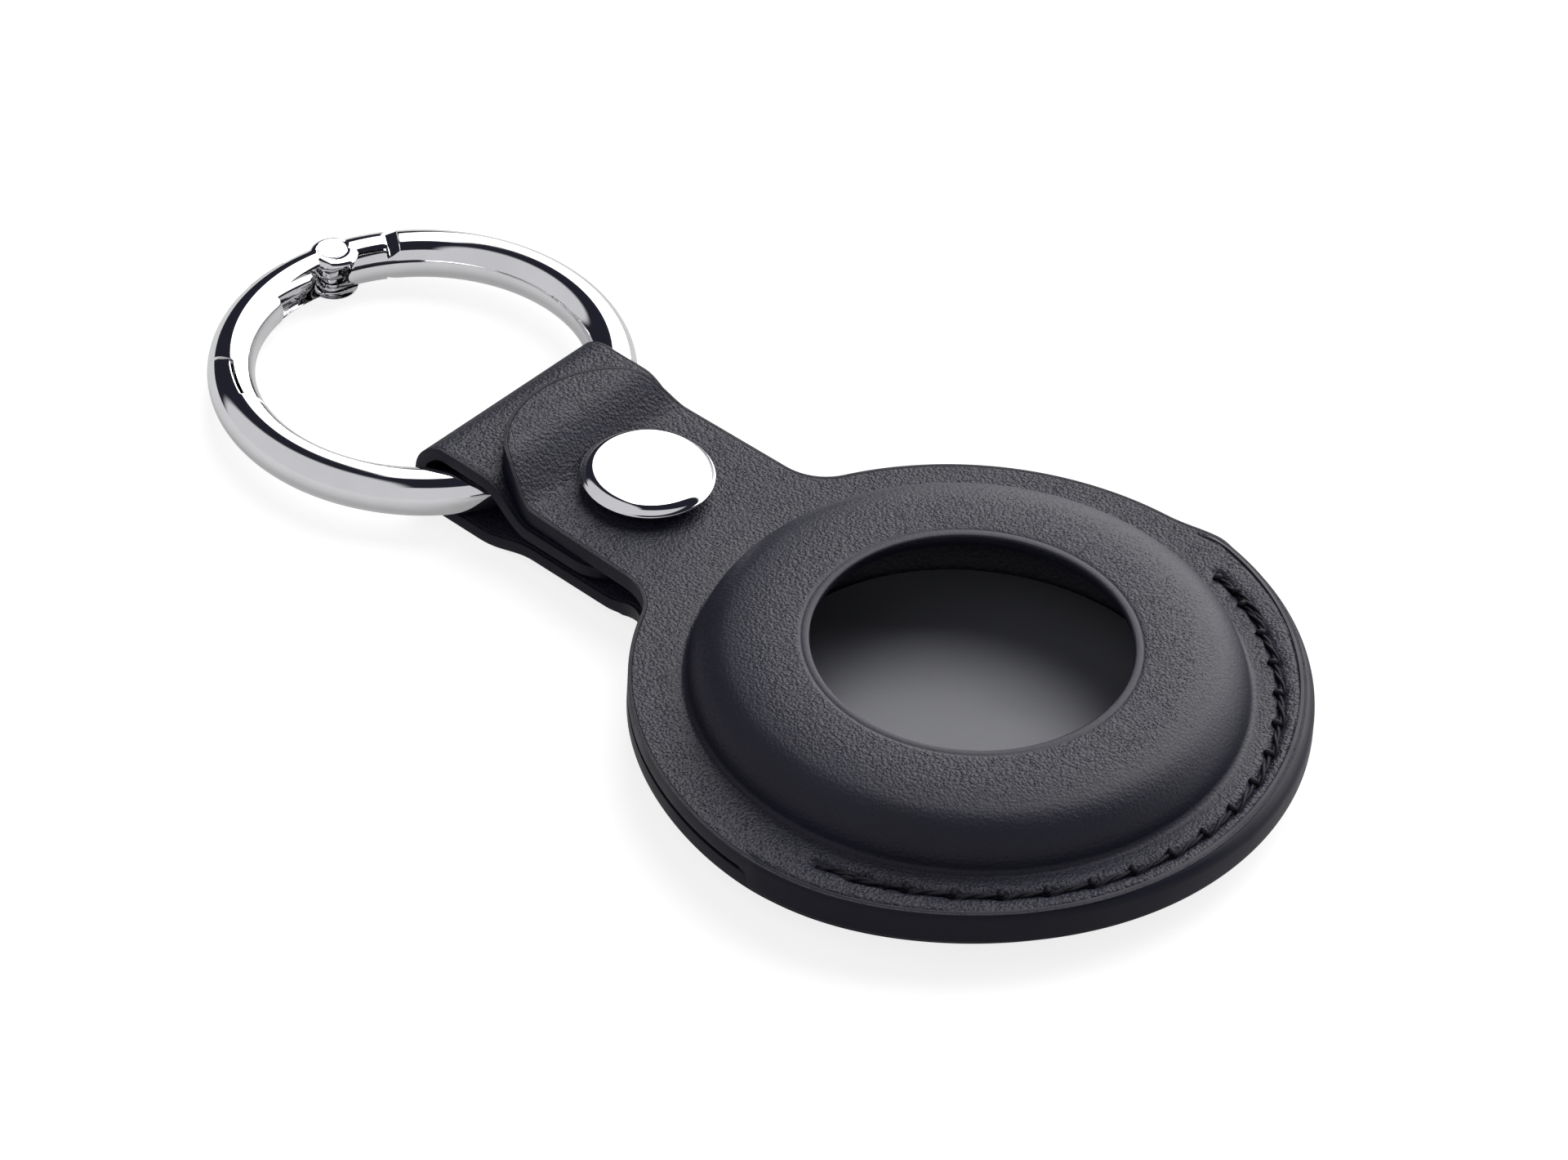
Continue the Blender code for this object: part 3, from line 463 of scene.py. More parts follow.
class NodeBench:
    """A node tree that is filled node by node."""

    def __init__(self, tree: bpy.types.NodeTree) -> None:
        """Keep the tree that gets the nodes."""
        self.tree = tree

    def feed(self, socket: bpy.types.NodeSocket, value: Feed) -> None:
        """Link an input to an output, or set its value.

        Args:
            socket: the input.
            value: an output socket or a plain value.
        """
        if isinstance(value, bpy.types.NodeSocket):
            self.tree.links.new(value, socket)
        else:
            socket.default_value = value

    def coat(self, shader: bpy.types.Node, values: dict[str, Feed]) -> None:
        """Feed the named inputs of a shader."""
        for name, value in values.items():
            self.feed(shader.inputs[name], value)

    def add(self, kind: str, values: dict[str | int, Feed] | None = None, **settings: object) -> bpy.types.Node:
        """Add a node with its settings, and link or set its inputs.

        Args:
            kind: Blender's name of the node, without its ShaderNode start.
            values: input name or number to a value or an output socket.
            **settings: attributes of the node.

        Returns:
            The new node.
        """
        node = self.tree.nodes.new(kind if kind.startswith("Node") else "ShaderNode" + kind)
        for name, value in settings.items():
            setattr(node, name, value)
        for name, value in (values or {}).items():
            self.feed(node.inputs[name], value)
        return node

    def maths(self, operation: str, first: Feed, second: Feed = 0.0, third: Feed = 0.0) -> bpy.types.NodeSocket:
        """Result of a Math node."""
        return self.add("Math", {0: first, 1: second, 2: third}, operation=operation).outputs[0]

    def ramp(self, value: Feed, low: float, high: float, start: float = 0.0,
             end: float = 1.0) -> bpy.types.NodeSocket:
        """Value mapped smoothly from one range to another and clamped."""
        ranges = {"Value": value, "From Min": low, "From Max": high, "To Min": start, "To Max": end}
        return self.add("MapRange", ranges, interpolation_type="SMOOTHSTEP").outputs["Result"]

    def mix(self, share: Feed, first: Feed, second: Feed) -> bpy.types.NodeSocket:
        """Mix of two colours, which are inputs 6 and 7 of the node."""
        return self.add("Mix", {0: share, 6: first, 7: second}, data_type="RGBA").outputs[2]

    def noise(self, place: Feed, scale: Feed, detail: float, **inputs: float) -> bpy.types.NodeSocket:
        """Share from a noise pattern."""
        return self.add("TexNoise", {"Vector": place, "Scale": scale, "Detail": detail, **inputs}).outputs["Fac"]

    def bump(self, height: Feed, distance: float, strength: float) -> bpy.types.NodeSocket:
        """Normal that follows a height."""
        return self.add("Bump", {"Height": height, "Distance": distance, "Strength": strength}).outputs["Normal"]

    def group(self, tree: bpy.types.NodeTree, values: dict[str, Feed]) -> bpy.types.Node:
        """Add a node group with its values.

        Args:
            tree: the group's own tree.
            values: input name to a value or an output socket.

        Returns:
            The group's node.
        """
        node = self.tree.nodes.new("ShaderNodeGroup")
        node.node_tree = tree
        self.coat(node, values)
        return node


def tint(colour: Colour, share: float = 1.0) -> Film:
    """Colour made darker or lighter by a share, with its alpha."""
    return (*[part * share for part in colour], 1.0)


def new_group(name: str, inputs: dict[str, float | None], outputs: Sequence[str]
              ) -> tuple[bpy.types.NodeTree, NodeBench, bpy.types.Node, bpy.types.Node]:
    """Start a shader node group.

    Args:
        name: name of the group.
        inputs: input name to its default number, or None for a vector.
        outputs: names of the number outputs.

    Returns:
        The tree, its bench, the group's input node and its output node.
    """
    tree = bpy.data.node_groups.new(name, "ShaderNodeTree")
    for label, value in inputs.items():
        kind = "NodeSocketVector" if value is None else "NodeSocketFloat"
        socket = tree.interface.new_socket(name=label, in_out="INPUT", socket_type=kind)
        if value is not None:
            socket.default_value = value
    for label in outputs:
        tree.interface.new_socket(name=label, in_out="OUTPUT", socket_type="NodeSocketFloat")
    bench = NodeBench(tree)
    return tree, bench, bench.add("NodeGroupInput"), bench.add("NodeGroupOutput")


def pebble_grain_group() -> bpy.types.NodeTree:
    """Grain of coated leather: low pebbles with small dark pores between them.

    Returns:
        The group, which gives a height and a mask of the pores.
    """
    tree, bench, given, result = new_group(
        "pebble_grain", {"Place": None, "Cells": 3000.0, "Pores": 1.0}, ["Height", "Pore"])
    place, cells = given.outputs["Place"], given.outputs["Cells"]
    wander = bench.add("TexNoise", {"Vector": place, "Scale": bench.maths("MULTIPLY", cells, 0.45), "Detail": 2.0})
    shift = bench.add("VectorMath", {0: wander.outputs["Color"], 1: (0.5, 0.5, 0.5)}, operation="SUBTRACT")
    scaled = bench.add("VectorMath", {0: shift.outputs[0], "Scale": 0.00012}, operation="SCALE")
    moved = bench.add("VectorMath", {0: place, 1: scaled.outputs[0]}, operation="ADD").outputs[0]
    pebbles = bench.add("TexVoronoi", {"Vector": moved, "Scale": cells, "Smoothness": 0.35}, feature="SMOOTH_F1")
    pores = bench.add("TexVoronoi", {"Vector": moved, "Scale": bench.maths("MULTIPLY", cells, 1.15)}, feature="F1")
    reach = bench.ramp(bench.noise(place, 900.0, 2.0), 0.35, 0.65, 0.27, 0.40)
    pore = bench.maths("SUBTRACT", 1.0, bench.maths("DIVIDE", pores.outputs["Distance"], reach))
    pore = bench.maths("MULTIPLY", pore, given.outputs["Pores"])
    pore = bench.maths("MINIMUM", bench.maths("MAXIMUM", pore, 0.0), 1.0)
    fine = bench.noise(place, bench.maths("MULTIPLY", cells, 2.2), 3.0)
    height = bench.maths("MULTIPLY_ADD", pebbles.outputs["Distance"], -0.8, 0.6)
    height = bench.maths("MULTIPLY_ADD", fine, 0.25, height)
    height = bench.maths("MULTIPLY_ADD", pore, -1.1, height)
    bench.coat(result, {"Height": height, "Pore": pore})
    return tree


def wear_group() -> bpy.types.NodeTree:
    """Fine scratches and hazy patches of handled surfaces.

    Returns:
        The group, which gives a mask of the haze and one of the scratches.
    """
    tree, bench, given, result = new_group(
        "handling_wear", {"Place": None, "Scratch Scale": 900.0}, ["Haze", "Scratch"])
    place = given.outputs["Place"]
    haze = bench.noise(place, 260.0, 4.0, Roughness=0.6)
    long = bench.add("Mapping", {"Vector": place, "Rotation": (0.3, 0.2, 0.7), "Scale": (1.0, 14.0, 1.0)})
    lines = bench.noise(long.outputs[0], given.outputs["Scratch Scale"], 2.0)
    bench.coat(result, {"Haze": bench.ramp(haze, 0.35, 0.75), "Scratch": bench.ramp(lines, 0.66, 0.74)})
    return tree


def new_material(name: str) -> tuple[bpy.types.Material, NodeBench, bpy.types.Node, bpy.types.NodeSocket]:
    """Start a material.

    Args:
        name: name of the material.

    Returns:
        The material, its bench, its shader and its object coordinates.
    """
    material = bpy.data.materials.new(name)
    material.use_nodes = True
    bench = NodeBench(material.node_tree)
    shader = material.node_tree.nodes["Principled BSDF"]
    return material, bench, shader, bench.add("TexCoord").outputs["Object"]


@dataclass(frozen=True)
class LeatherFinish:
    """Coated leather with pebble grain, its cut edge painted."""

    name: str
    colour: Colour
    roughness: float = 0.44
    specular: float = 0.28
    cells: float = 4800.0
    depth: float = 0.00006
    paint: Colour = (0.004, 0.004, 0.010)
    border: float = 0.00022

    def stretch(self, bench: NodeBench, radius: bpy.types.NodeSocket) -> bpy.types.NodeSocket:
        """Share by which the grain is flattened over the dome's shoulder and at the window's lip.

        Args:
            bench: the material's bench.
            radius: distance from the pocket's axis.

        Returns:
            The share as a socket.
        """
        dome = bench.maths("MULTIPLY", bench.ramp(radius, 0.0125, 0.0150), bench.ramp(radius, 0.0186, 0.0170))
        lip = bench.ramp(radius, 0.0107, 0.0103)
        return bench.maths("MAXIMUM", bench.maths("MULTIPLY", dome, 0.55), bench.maths("MULTIPLY", lip, 0.85))

    def folds(self, bench: NodeBench, sides: bpy.types.Node, radius: bpy.types.NodeSocket) -> bpy.types.NodeSocket:
        """Small radial folds that the stitches pull into the leather, only along the seam.

        Args:
            bench: the material's bench.
            sides: node that gives x and y.
            radius: distance from the pocket's axis.

        Returns:
            Depth of the folds as a socket.
        """
        turn = bench.maths("ARCTAN2", sides.outputs["Y"], sides.outputs["X"])
        around = bench.maths("MULTIPLY", turn, SIZES.stitch_radius * 4200.0)
        spread = bench.add("CombineXYZ", {0: around, 1: bench.maths("MULTIPLY", radius, 1100.0)})
        waves = bench.noise(spread.outputs[0], 1.0, 2.0)
        seam = bench.maths("MULTIPLY", bench.ramp(radius, 0.0180, 0.0186), bench.ramp(radius, 0.0199, 0.0193))
        seam = bench.maths("MULTIPLY", seam, bench.ramp(sides.outputs["X"], 0.0030, 0.0046))
        return bench.maths("MULTIPLY", bench.ramp(waves, 0.56, 0.40), seam)

    def build(self, grain: bpy.types.NodeTree) -> bpy.types.Material:
        """Build the material.

        Args:
            grain: group of the pebble grain.

        Returns:
            The material.
        """
        material, bench, shader, place = new_material(self.name)
        sides = bench.add("SeparateXYZ", {0: place})
        radius = bench.maths("SQRT", bench.maths("ADD", bench.maths("POWER", sides.outputs["X"], 2.0),
                                                 bench.maths("POWER", sides.outputs["Y"], 2.0)))
        lively = bench.maths("SUBTRACT", 1.0, self.stretch(bench, radius))
        pebble = bench.group(grain, {"Place": place, "Cells": self.cells, "Pores": lively})
        pore = pebble.outputs["Pore"]
        tone = bench.noise(place, 180.0, 3.0)
        base = bench.mix(bench.ramp(tone, 0.3, 0.7), tint(self.colour, 0.88), tint(self.colour, 1.12))
        colour = bench.mix(bench.maths("MULTIPLY", pore, 0.75), base, tint(self.colour, 0.30))
        border = bench.add("Attribute", attribute_name="edge_distance").outputs["Fac"]
        painted = bench.ramp(border, self.border + 0.00006, self.border - 0.00004)
        rough = bench.maths("MULTIPLY_ADD", pore, 0.40, self.roughness)
        rough = bench.maths("MULTIPLY_ADD", tone, 0.08, rough)
        rough = bench.maths("MULTIPLY_ADD", painted, 0.12, rough)
        raised = bench.maths("MULTIPLY", pebble.outputs["Height"], lively)
        raised = bench.maths("MULTIPLY_ADD", self.folds(bench, sides, radius), -0.6, raised)
        raised = bench.maths("MULTIPLY", raised, bench.maths("MULTIPLY_ADD", painted, -0.8, 1.0))
        crease = bench.maths("MULTIPLY", painted, bench.maths("SUBTRACT", 1.0, painted))
        raised = bench.maths("MULTIPLY_ADD", crease, -4.0, raised)
        bench.coat(shader, {"Base Color": bench.mix(painted, colour, tint(self.paint)), "Roughness": rough,
                            "Specular IOR Level": self.specular, "Normal": bench.bump(raised, self.depth, 1.0)})
        return material


@dataclass(frozen=True)
class PaintedEdgeFinish:
    """Edge paint: smooth, a little glossy, with shallow waves from the brush."""

    name: str
    colour: Colour
    roughness: float = 0.38
    specular: float = 0.20

    def build(self, wear: bpy.types.NodeTree) -> bpy.types.Material:
        """Build the material.

        Args:
            wear: group of the handling marks.

        Returns:
            The material.
        """
        material, bench, shader, place = new_material(self.name)
        handled = bench.group(wear, {"Place": place})
        tone = bench.noise(place, 400.0, 3.0)
        rough = bench.maths("MULTIPLY_ADD", handled.outputs["Haze"], 0.12, self.roughness)
        bench.coat(shader, {"Base Color": bench.mix(tone, tint(self.colour, 0.85), tint(self.colour, 1.15)),
                            "Roughness": rough, "Specular IOR Level": self.specular,
                            "Normal": bench.bump(tone, 0.00002, 0.6)})
        return material


@dataclass(frozen=True)
class LiningFinish:
    """Smooth satin lining film with a faint weave."""

    name: str
    colour: Colour

    def build(self) -> bpy.types.Material:
        """Build the material.

        Returns:
            The material.
        """
        material, bench, shader, place = new_material(self.name)
        tone = bench.noise(place, 120.0, 4.0)
        threads = bench.noise(place, 6000.0, 2.0)
        bench.coat(shader, {"Base Color": bench.mix(tone, tint(self.colour, 0.90), tint(self.colour, 1.10)),
                            "Roughness": bench.ramp(tone, 0.2, 0.8, 0.42, 0.52),
                            "Normal": bench.bump(threads, 0.00001, 0.5)})
        return material


@dataclass(frozen=True)
class ThreadFinish:
    """Bonded sewing thread: dark, with fine fibres."""

    name: str
    colour: Colour
    specular: float = 0.22

    def build(self) -> bpy.types.Material:
        """Build the material.

        Returns:
            The material.
        """
        material, bench, shader, place = new_material(self.name)
        fibres = bench.noise(place, 9000.0, 3.0)
        tone = bench.mix(bench.ramp(fibres, 0.35, 0.7), tint(self.colour, 0.6), tint(self.colour, 1.8))
        bench.coat(shader, {"Base Color": tone, "Roughness": bench.ramp(fibres, 0.3, 0.7, 0.55, 0.75),
                            "Specular IOR Level": self.specular, "Normal": bench.bump(fibres, 0.00003, 0.8)})
        return material


@dataclass(frozen=True)
class MetalFinish:
    """Plated or bare metal with handling marks."""

    name: str
    colour: Colour
    roughness: float
    haze: float
    scratch: float

    def build(self, wear: bpy.types.NodeTree) -> bpy.types.Material:
        """Build the material.

        Args:
            wear: group of the handling marks.

        Returns:
            The material.
        """
        material, bench, shader, place = new_material(self.name)
        handled = bench.group(wear, {"Place": place})
        haze, scratch = handled.outputs["Haze"], handled.outputs["Scratch"]
        rough = bench.maths("MULTIPLY_ADD", haze, self.haze, self.roughness)
        rough = bench.maths("MULTIPLY_ADD", scratch, self.scratch, rough)
        bench.coat(shader, {"Base Color": bench.mix(haze, tint(self.colour), tint(self.colour, 0.94)),
                            "Roughness": rough, "Metallic": 1.0, "Normal": bench.bump(scratch, -0.000001, 0.15)})
        return material


class Finishes:
    """All materials of the holder, built once."""

    def __init__(self) -> None:
        """Build the shared groups and every material."""
        grain, wear = pebble_grain_group(), wear_group()
        self.leather = LeatherFinish("charcoal_leather", (0.0080, 0.0080, 0.0175)).build(grain)
        self.edge = PaintedEdgeFinish("edge_paint", (0.0035, 0.0035, 0.0110)).build(wear)
        self.lining = LiningFinish("satin_lining", (0.098, 0.100, 0.114)).build()
        self.thread = ThreadFinish("navy_thread", (0.0025, 0.0025, 0.0060)).build()
        self.chrome = MetalFinish("polished_nickel", (0.86, 0.86, 0.87), 0.035, 0.035, 0.05).build(wear)
        self.steel = MetalFinish("bright_steel", (0.58, 0.58, 0.60), 0.20, 0.10, 0.12).build(wear)


def dress(item: bpy.types.Object, materials: Sequence[bpy.types.Material]) -> None:
    """Give an object its materials.

    Args:
        item: the object.
        materials: its materials in slot order.
    """
    item.data.materials.clear()
    for material in materials:
        item.data.materials.append(material)


def panel_outline(half_width: float, cut_steps: int, arc_steps: int, disc_steps: int) -> tuple[list[Flat], int]:
    """Disc with neck fillets and a straight cut across the neck, counter-clockwise from the cut's +Y end.

    Args:
        half_width: half of the strap's width beyond the neck.
        cut_steps: edges on the cut.
        arc_steps: edges on each fillet.
        disc_steps: edges on the disc.

    Returns:
        The outline's points and how many of the first ones lie on the cut.
    """
    reach = SIZES.disc_radius + SIZES.neck_fillet
    side = half_width + SIZES.neck_fillet
    centre = (-math.sqrt(reach * reach - side * side), side)
    tangent = math.atan2(centre[1], -centre[0])
    upper = arc(centre, SIZES.neck_fillet, -tangent, -math.pi / 2, arc_steps)
    lower = [(x, -y) for x, y in reversed(upper)]
    disc = arc((0.0, 0.0), SIZES.disc_radius, tangent - math.pi, math.pi - tangent, disc_steps)
    cut = [(centre[0], half_width * (1 - 2 * step / cut_steps)) for step in range(cut_steps + 1)]
    return cut + lower[1:] + disc[1:] + upper[1:-1], len(cut)


@dataclass(frozen=True)
class RimShape:
    """Unevenness of the sewn and painted rim; its angles are in degrees."""

    near_spread: float = 0.00058
    near_angle: float = -78.0
    near_width: float = 24.0
    far_spread: float = 0.00082
    far_angle: float = 84.0
    far_width: float = 45.0
    far_end: float = 82.0
    far_fade: float = 13.0
    paint_width: float = 0.00042
    paint_swell: float = 0.00062
    swell_angle: float = 25.0
    swell_width: float = 50.0
    tuck_width: float = 0.00040

    def reach(self, angle: float) -> float:
        """Radius of the rim; the sewn leathers spread a little towards both ends of the seam.

        Args:
            angle: place on the rim in radians.

        Returns:
            The radius.
        """
        degrees = math.degrees(angle)
        near = self.near_spread * bell(degrees - self.near_angle, self.near_width)
        fade = 1 - ease((degrees - self.far_end) / self.far_fade)
        return SIZES.disc_radius + near + self.far_spread * bell(degrees - self.far_angle, self.far_width) * fade

    def width(self, angle: float) -> float:
        """Width of the painted edge seen from above, which was laid on unevenly."""
        return self.paint_width + self.paint_swell * bell(math.degrees(angle) - self.swell_angle, self.swell_width)

    def tucked(self, point: Flat) -> float:
        """Radius of the leather's edge, drawn in where the edge paint covers it.

        Args:
            point: place on the plain outline.

        Returns:
            Distance from the axis.
        """
        x, y = point
        angle = math.atan2(y, x)
        tuck = SIZES.rim_tuck * ease((SIZES.rim_span - 0.06 - abs(angle)) / 0.08)
        spread = self.reach(angle) - SIZES.disc_radius
        return math.hypot(x, y) + spread - tuck * (self.width(angle) - self.tuck_width) / self.paint_swell


RIM = RimShape()


def section(across: Sequence[float], place: Point, half: float, reach: float) -> list[Point]:
    """Row of points across a strap, raised from its middle line along its normal.

    Args:
        across: place of each point across the strap, from 1 to -1.
        place: x and z of the middle line and the angle of its normal.
        half: half of the strap's width.
        reach: distance along the normal.

    Returns:
        One point for each place across.
    """
    x, z, normal = place
    return [(x + reach * math.cos(normal), share * half, z + reach * math.sin(normal)) for share in across]


@dataclass
class FrontLeather:
    """Front leather: domed disc with its window, neck and the tab with its rounded end."""

    finishes: Finishes
    disc_steps: int = 330
    cut_steps: int = 28
    tab_end_length: float = 0.0065
    tab_past_loop: float = 0.00237
    edge_round: float = 0.00042
    shoulder_round: float = 0.0030
    crease_round: float = 0.00045
    crease_start: float = 0.0170
    wall_slant: float = 5.0
    crown_slope: float = 13.0
    rim_steps: int = 26
    tab_rows: int = 20
    seam_sink: float = 0.00020
    seam_width: float = 0.00028
    hole_sink: float = 0.00022
    hole_width: float = 0.00036
    groove_depth: float = 0.00008
    groove_width: float = 0.00007
    pucker_depth: float = 0.00003
    socket_room: float = 0.00372
    socket_bore: float = 0.00307
    socket_seat: float = 0.00031

    def rings(self) -> list[Flat]:
        """Radii and levels of the top surface from the window to the crease.

        Returns:
            Radius and height of each ring.
        """
        top = SIZES.flange_top + SIZES.dome_rise
        lip = [(0.0, -0.11), (0.03, -0.055), (0.08, -0.022), (0.15, -0.006), (0.26, 0.0), (0.46, 0.0), (0.52, -0.022),
               (0.58, -0.022), (0.64, 0.0), (0.80, 0.0)]
        rings = [(SIZES.window_radius + out * 0.001, top + SIZES.lip_rise + up * 0.001) for out, up in lip]
        slant = math.radians(self.wall_slant)
        foot = SIZES.flange_top + self.crease_round
        wall = (self.crease_start, foot - self.crease_round * math.sin(slant))
        crease = (wall[0] + self.crease_round * math.cos(slant), foot)
        shoulder = (wall[0] - self.shoulder_round * math.cos(slant), wall[1] - self.shoulder_round * math.sin(slant))
        over = arc(shoulder, self.shoulder_round, math.radians(90.0 - self.crown_slope), slant, 16)
        inner = rings[-1][0]
        drop = top + SIZES.lip_rise - over[0][1]
        bend = math.tan(math.radians(self.crown_slope)) * (over[0][0] - inner) / drop
        for step in range(1, 10):
            share = step / 10
            rings.append((inner + (over[0][0] - inner) * share, top + SIZES.lip_rise - drop * share ** bend))
        rings += over
        rings += arc(crease, self.crease_round, math.pi + slant, 1.5 * math.pi, 9)[1:]
        return rings

    def rim_level(self, x: float, y: float) -> float:
        """Level of the rim's top, with the sunk stitch line and a dimple at each stitch hole.

        Args:
            x: place along the strap.
            y: place across it.

        Returns:
            The level.
        """
        level = SIZES.flange_top
        radius, angle = math.hypot(x, y), math.atan2(y, x)
        beyond = max(0.0, abs(angle) - SIZES.stitch_span) * radius
        level -= self.seam_sink * bell(radius - SIZES.stitch_radius, self.seam_width) * bell(beyond, 0.0005)
        pitch = 2 * SIZES.stitch_span / Stitching.count()
        nearest = round((angle + SIZES.stitch_span) / pitch) * pitch - SIZES.stitch_span
        if abs(nearest) < SIZES.stitch_span + pitch / 4:
            away = math.hypot(radius - SIZES.stitch_radius, (angle - nearest) * radius)
            level -= self.hole_sink * bell(away, self.hole_width)
        if abs(angle) < SIZES.rim_span:
            line = RIM.reach(angle) - RIM.width(angle)
            level -= self.groove_depth * bell(radius - line, self.groove_width)
        return level

    def pucker(self, x: float, y: float) -> float:
        """Dip of the tab's leather round the snap cap, with small radial folds.

        Args:
            x: place along the strap.
            y: place across it.

        Returns:
            Height of the dip, below zero.
        """
        dx, dy = x - SIZES.snap_x, y
        away, angle = math.hypot(dx, dy), math.atan2(dy, dx)
        folds = 0.5 + 0.3 * math.cos(17 * angle + 0.8) + 0.2 * math.cos(29 * angle + 2.1)
        return -self.pucker_depth * (bell(away - 0.0042, 0.0006) + folds * bell(away - 0.0050, 0.0007))

    def tab_stations(self) -> list[tuple[float, float]]:
        """Distance beyond the hinge and half width of each row of the tab.

        Returns:
            The rows from the neck to the tab's end.
        """
        length = SIZES.loop_reach + SIZES.hinge_x + self.tab_past_loop
        straight = -length + self.tab_end_length
        start = panel_outline(SIZES.tab_width / 2, 2, 2, 8)[0][0][0] - SIZES.hinge_x
        stations = []
        for row in range(1, self.tab_rows + 1):
            share = row / self.tab_rows
            half = SIZES.tab_width / 2 + (SIZES.tab_end_width - SIZES.tab_width) / 2 * share
            stations.append((start + (straight - start) * share, half))
        for row in range(1, self.tab_rows + 1):
            angle = math.radians(86.0) * row / self.tab_rows
            stations.append((straight - self.tab_end_length * math.sin(angle),
                             SIZES.tab_end_width / 2 * math.cos(angle)))
        return stations

    def tab_row(self, x: float, half: float, across: Sequence[float]) -> list[Point]:
        """Points across the tab's top at a distance beyond the hinge.

        Args:
            x: distance beyond the hinge, below zero.
            half: half width of the row.
            across: place of each point across the tab, from 1 to -1.

        Returns:
            The row's points.
        """
        share = (-SIZES.flap_rise_from_hinge - x) / SIZES.flap_rise_length
        level = SIZES.flange_top + SIZES.tab_rise * ease(share) - SIZES.leather / 2
        slope = ease_slope(share, SIZES.tab_rise, SIZES.flap_rise_length)
        place = (SIZES.hinge_x + x, level, math.pi / 2 - math.atan(slope))
        row = section(across, place, half, SIZES.leather / 2)
        return [(px, py, pz + self.pucker(px, py)) for px, py, pz in row]

    def build(self) -> bpy.types.Object:
        """Grow the sheet from the window outwards, then the tab, and give it its thickness.

        Returns:
            The finished object.
        """
        outline, on_cut = panel_outline(SIZES.tab_width / 2, self.cut_steps, 10, self.disc_steps)
        ways = [Vector(point).normalized() for point in outline]
        rings = self.rings()
        growth = Growth("front_leather", [(*(way * rings[0][0]), rings[0][1]) for way in ways])
        for radius, level in rings[1:]:
            growth.grow([(*(way * radius), level) for way in ways])
        crease = rings[-1][0]
        for step in range(1, self.rim_steps + 1):
            share = step / self.rim_steps
            ring = []
            for way, point in zip(ways, outline):
                reach = crease + (RIM.tucked(point) - crease) * share
                x, y = way * reach
                ring.append((x, y, self.rim_level(x, y)))
            growth.grow(ring)
        growth.keep(lambda place: place < on_cut)
        across = [1 - 2 * index / self.cut_steps for index in range(on_cut)]
        for x, wide in self.tab_stations():
            growth.grow(dict(enumerate(self.tab_row(x, wide, across))))
        item = growth.finish()
        face_up(item, lambda face: face.center.x > SIZES.stitch_radius)
        mark_edges(item, SIZES.dome_radius)
        thicken(item, SIZES.leather)
        dress(item, (self.finishes.leather, self.finishes.edge))
        bevel_edges(item, self.edge_round, 4, 60.0, 1)
        self.cut_socket_hole(item)
        shade(item, 40.0)
        return item

    def cut_socket_hole(self, item: bpy.types.Object) -> None:
        """Stepped hole through the tab for the snap's socket.

        Args:
            item: the front leather.
        """
        low, high = SIZES.flange_low - SIZES.leather, SIZES.flange_top + SIZES.leather
        step = SIZES.flange_low + self.socket_seat
        profile = [(0.0001, low), (self.socket_room, low), (self.socket_room, step), (self.socket_bore, step),
                   (self.socket_bore, high), (0.0001, high)]
        carve(item, turned("socket_hole", profile, 64, (SIZES.snap_x, 0.0)))

    def place(self, item: bpy.types.Object) -> None:
        """Hide the panel and tab nodes that it replaces, and bake its place into its mesh."""
        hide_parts("front_panel", "front_tab")
        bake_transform(item)


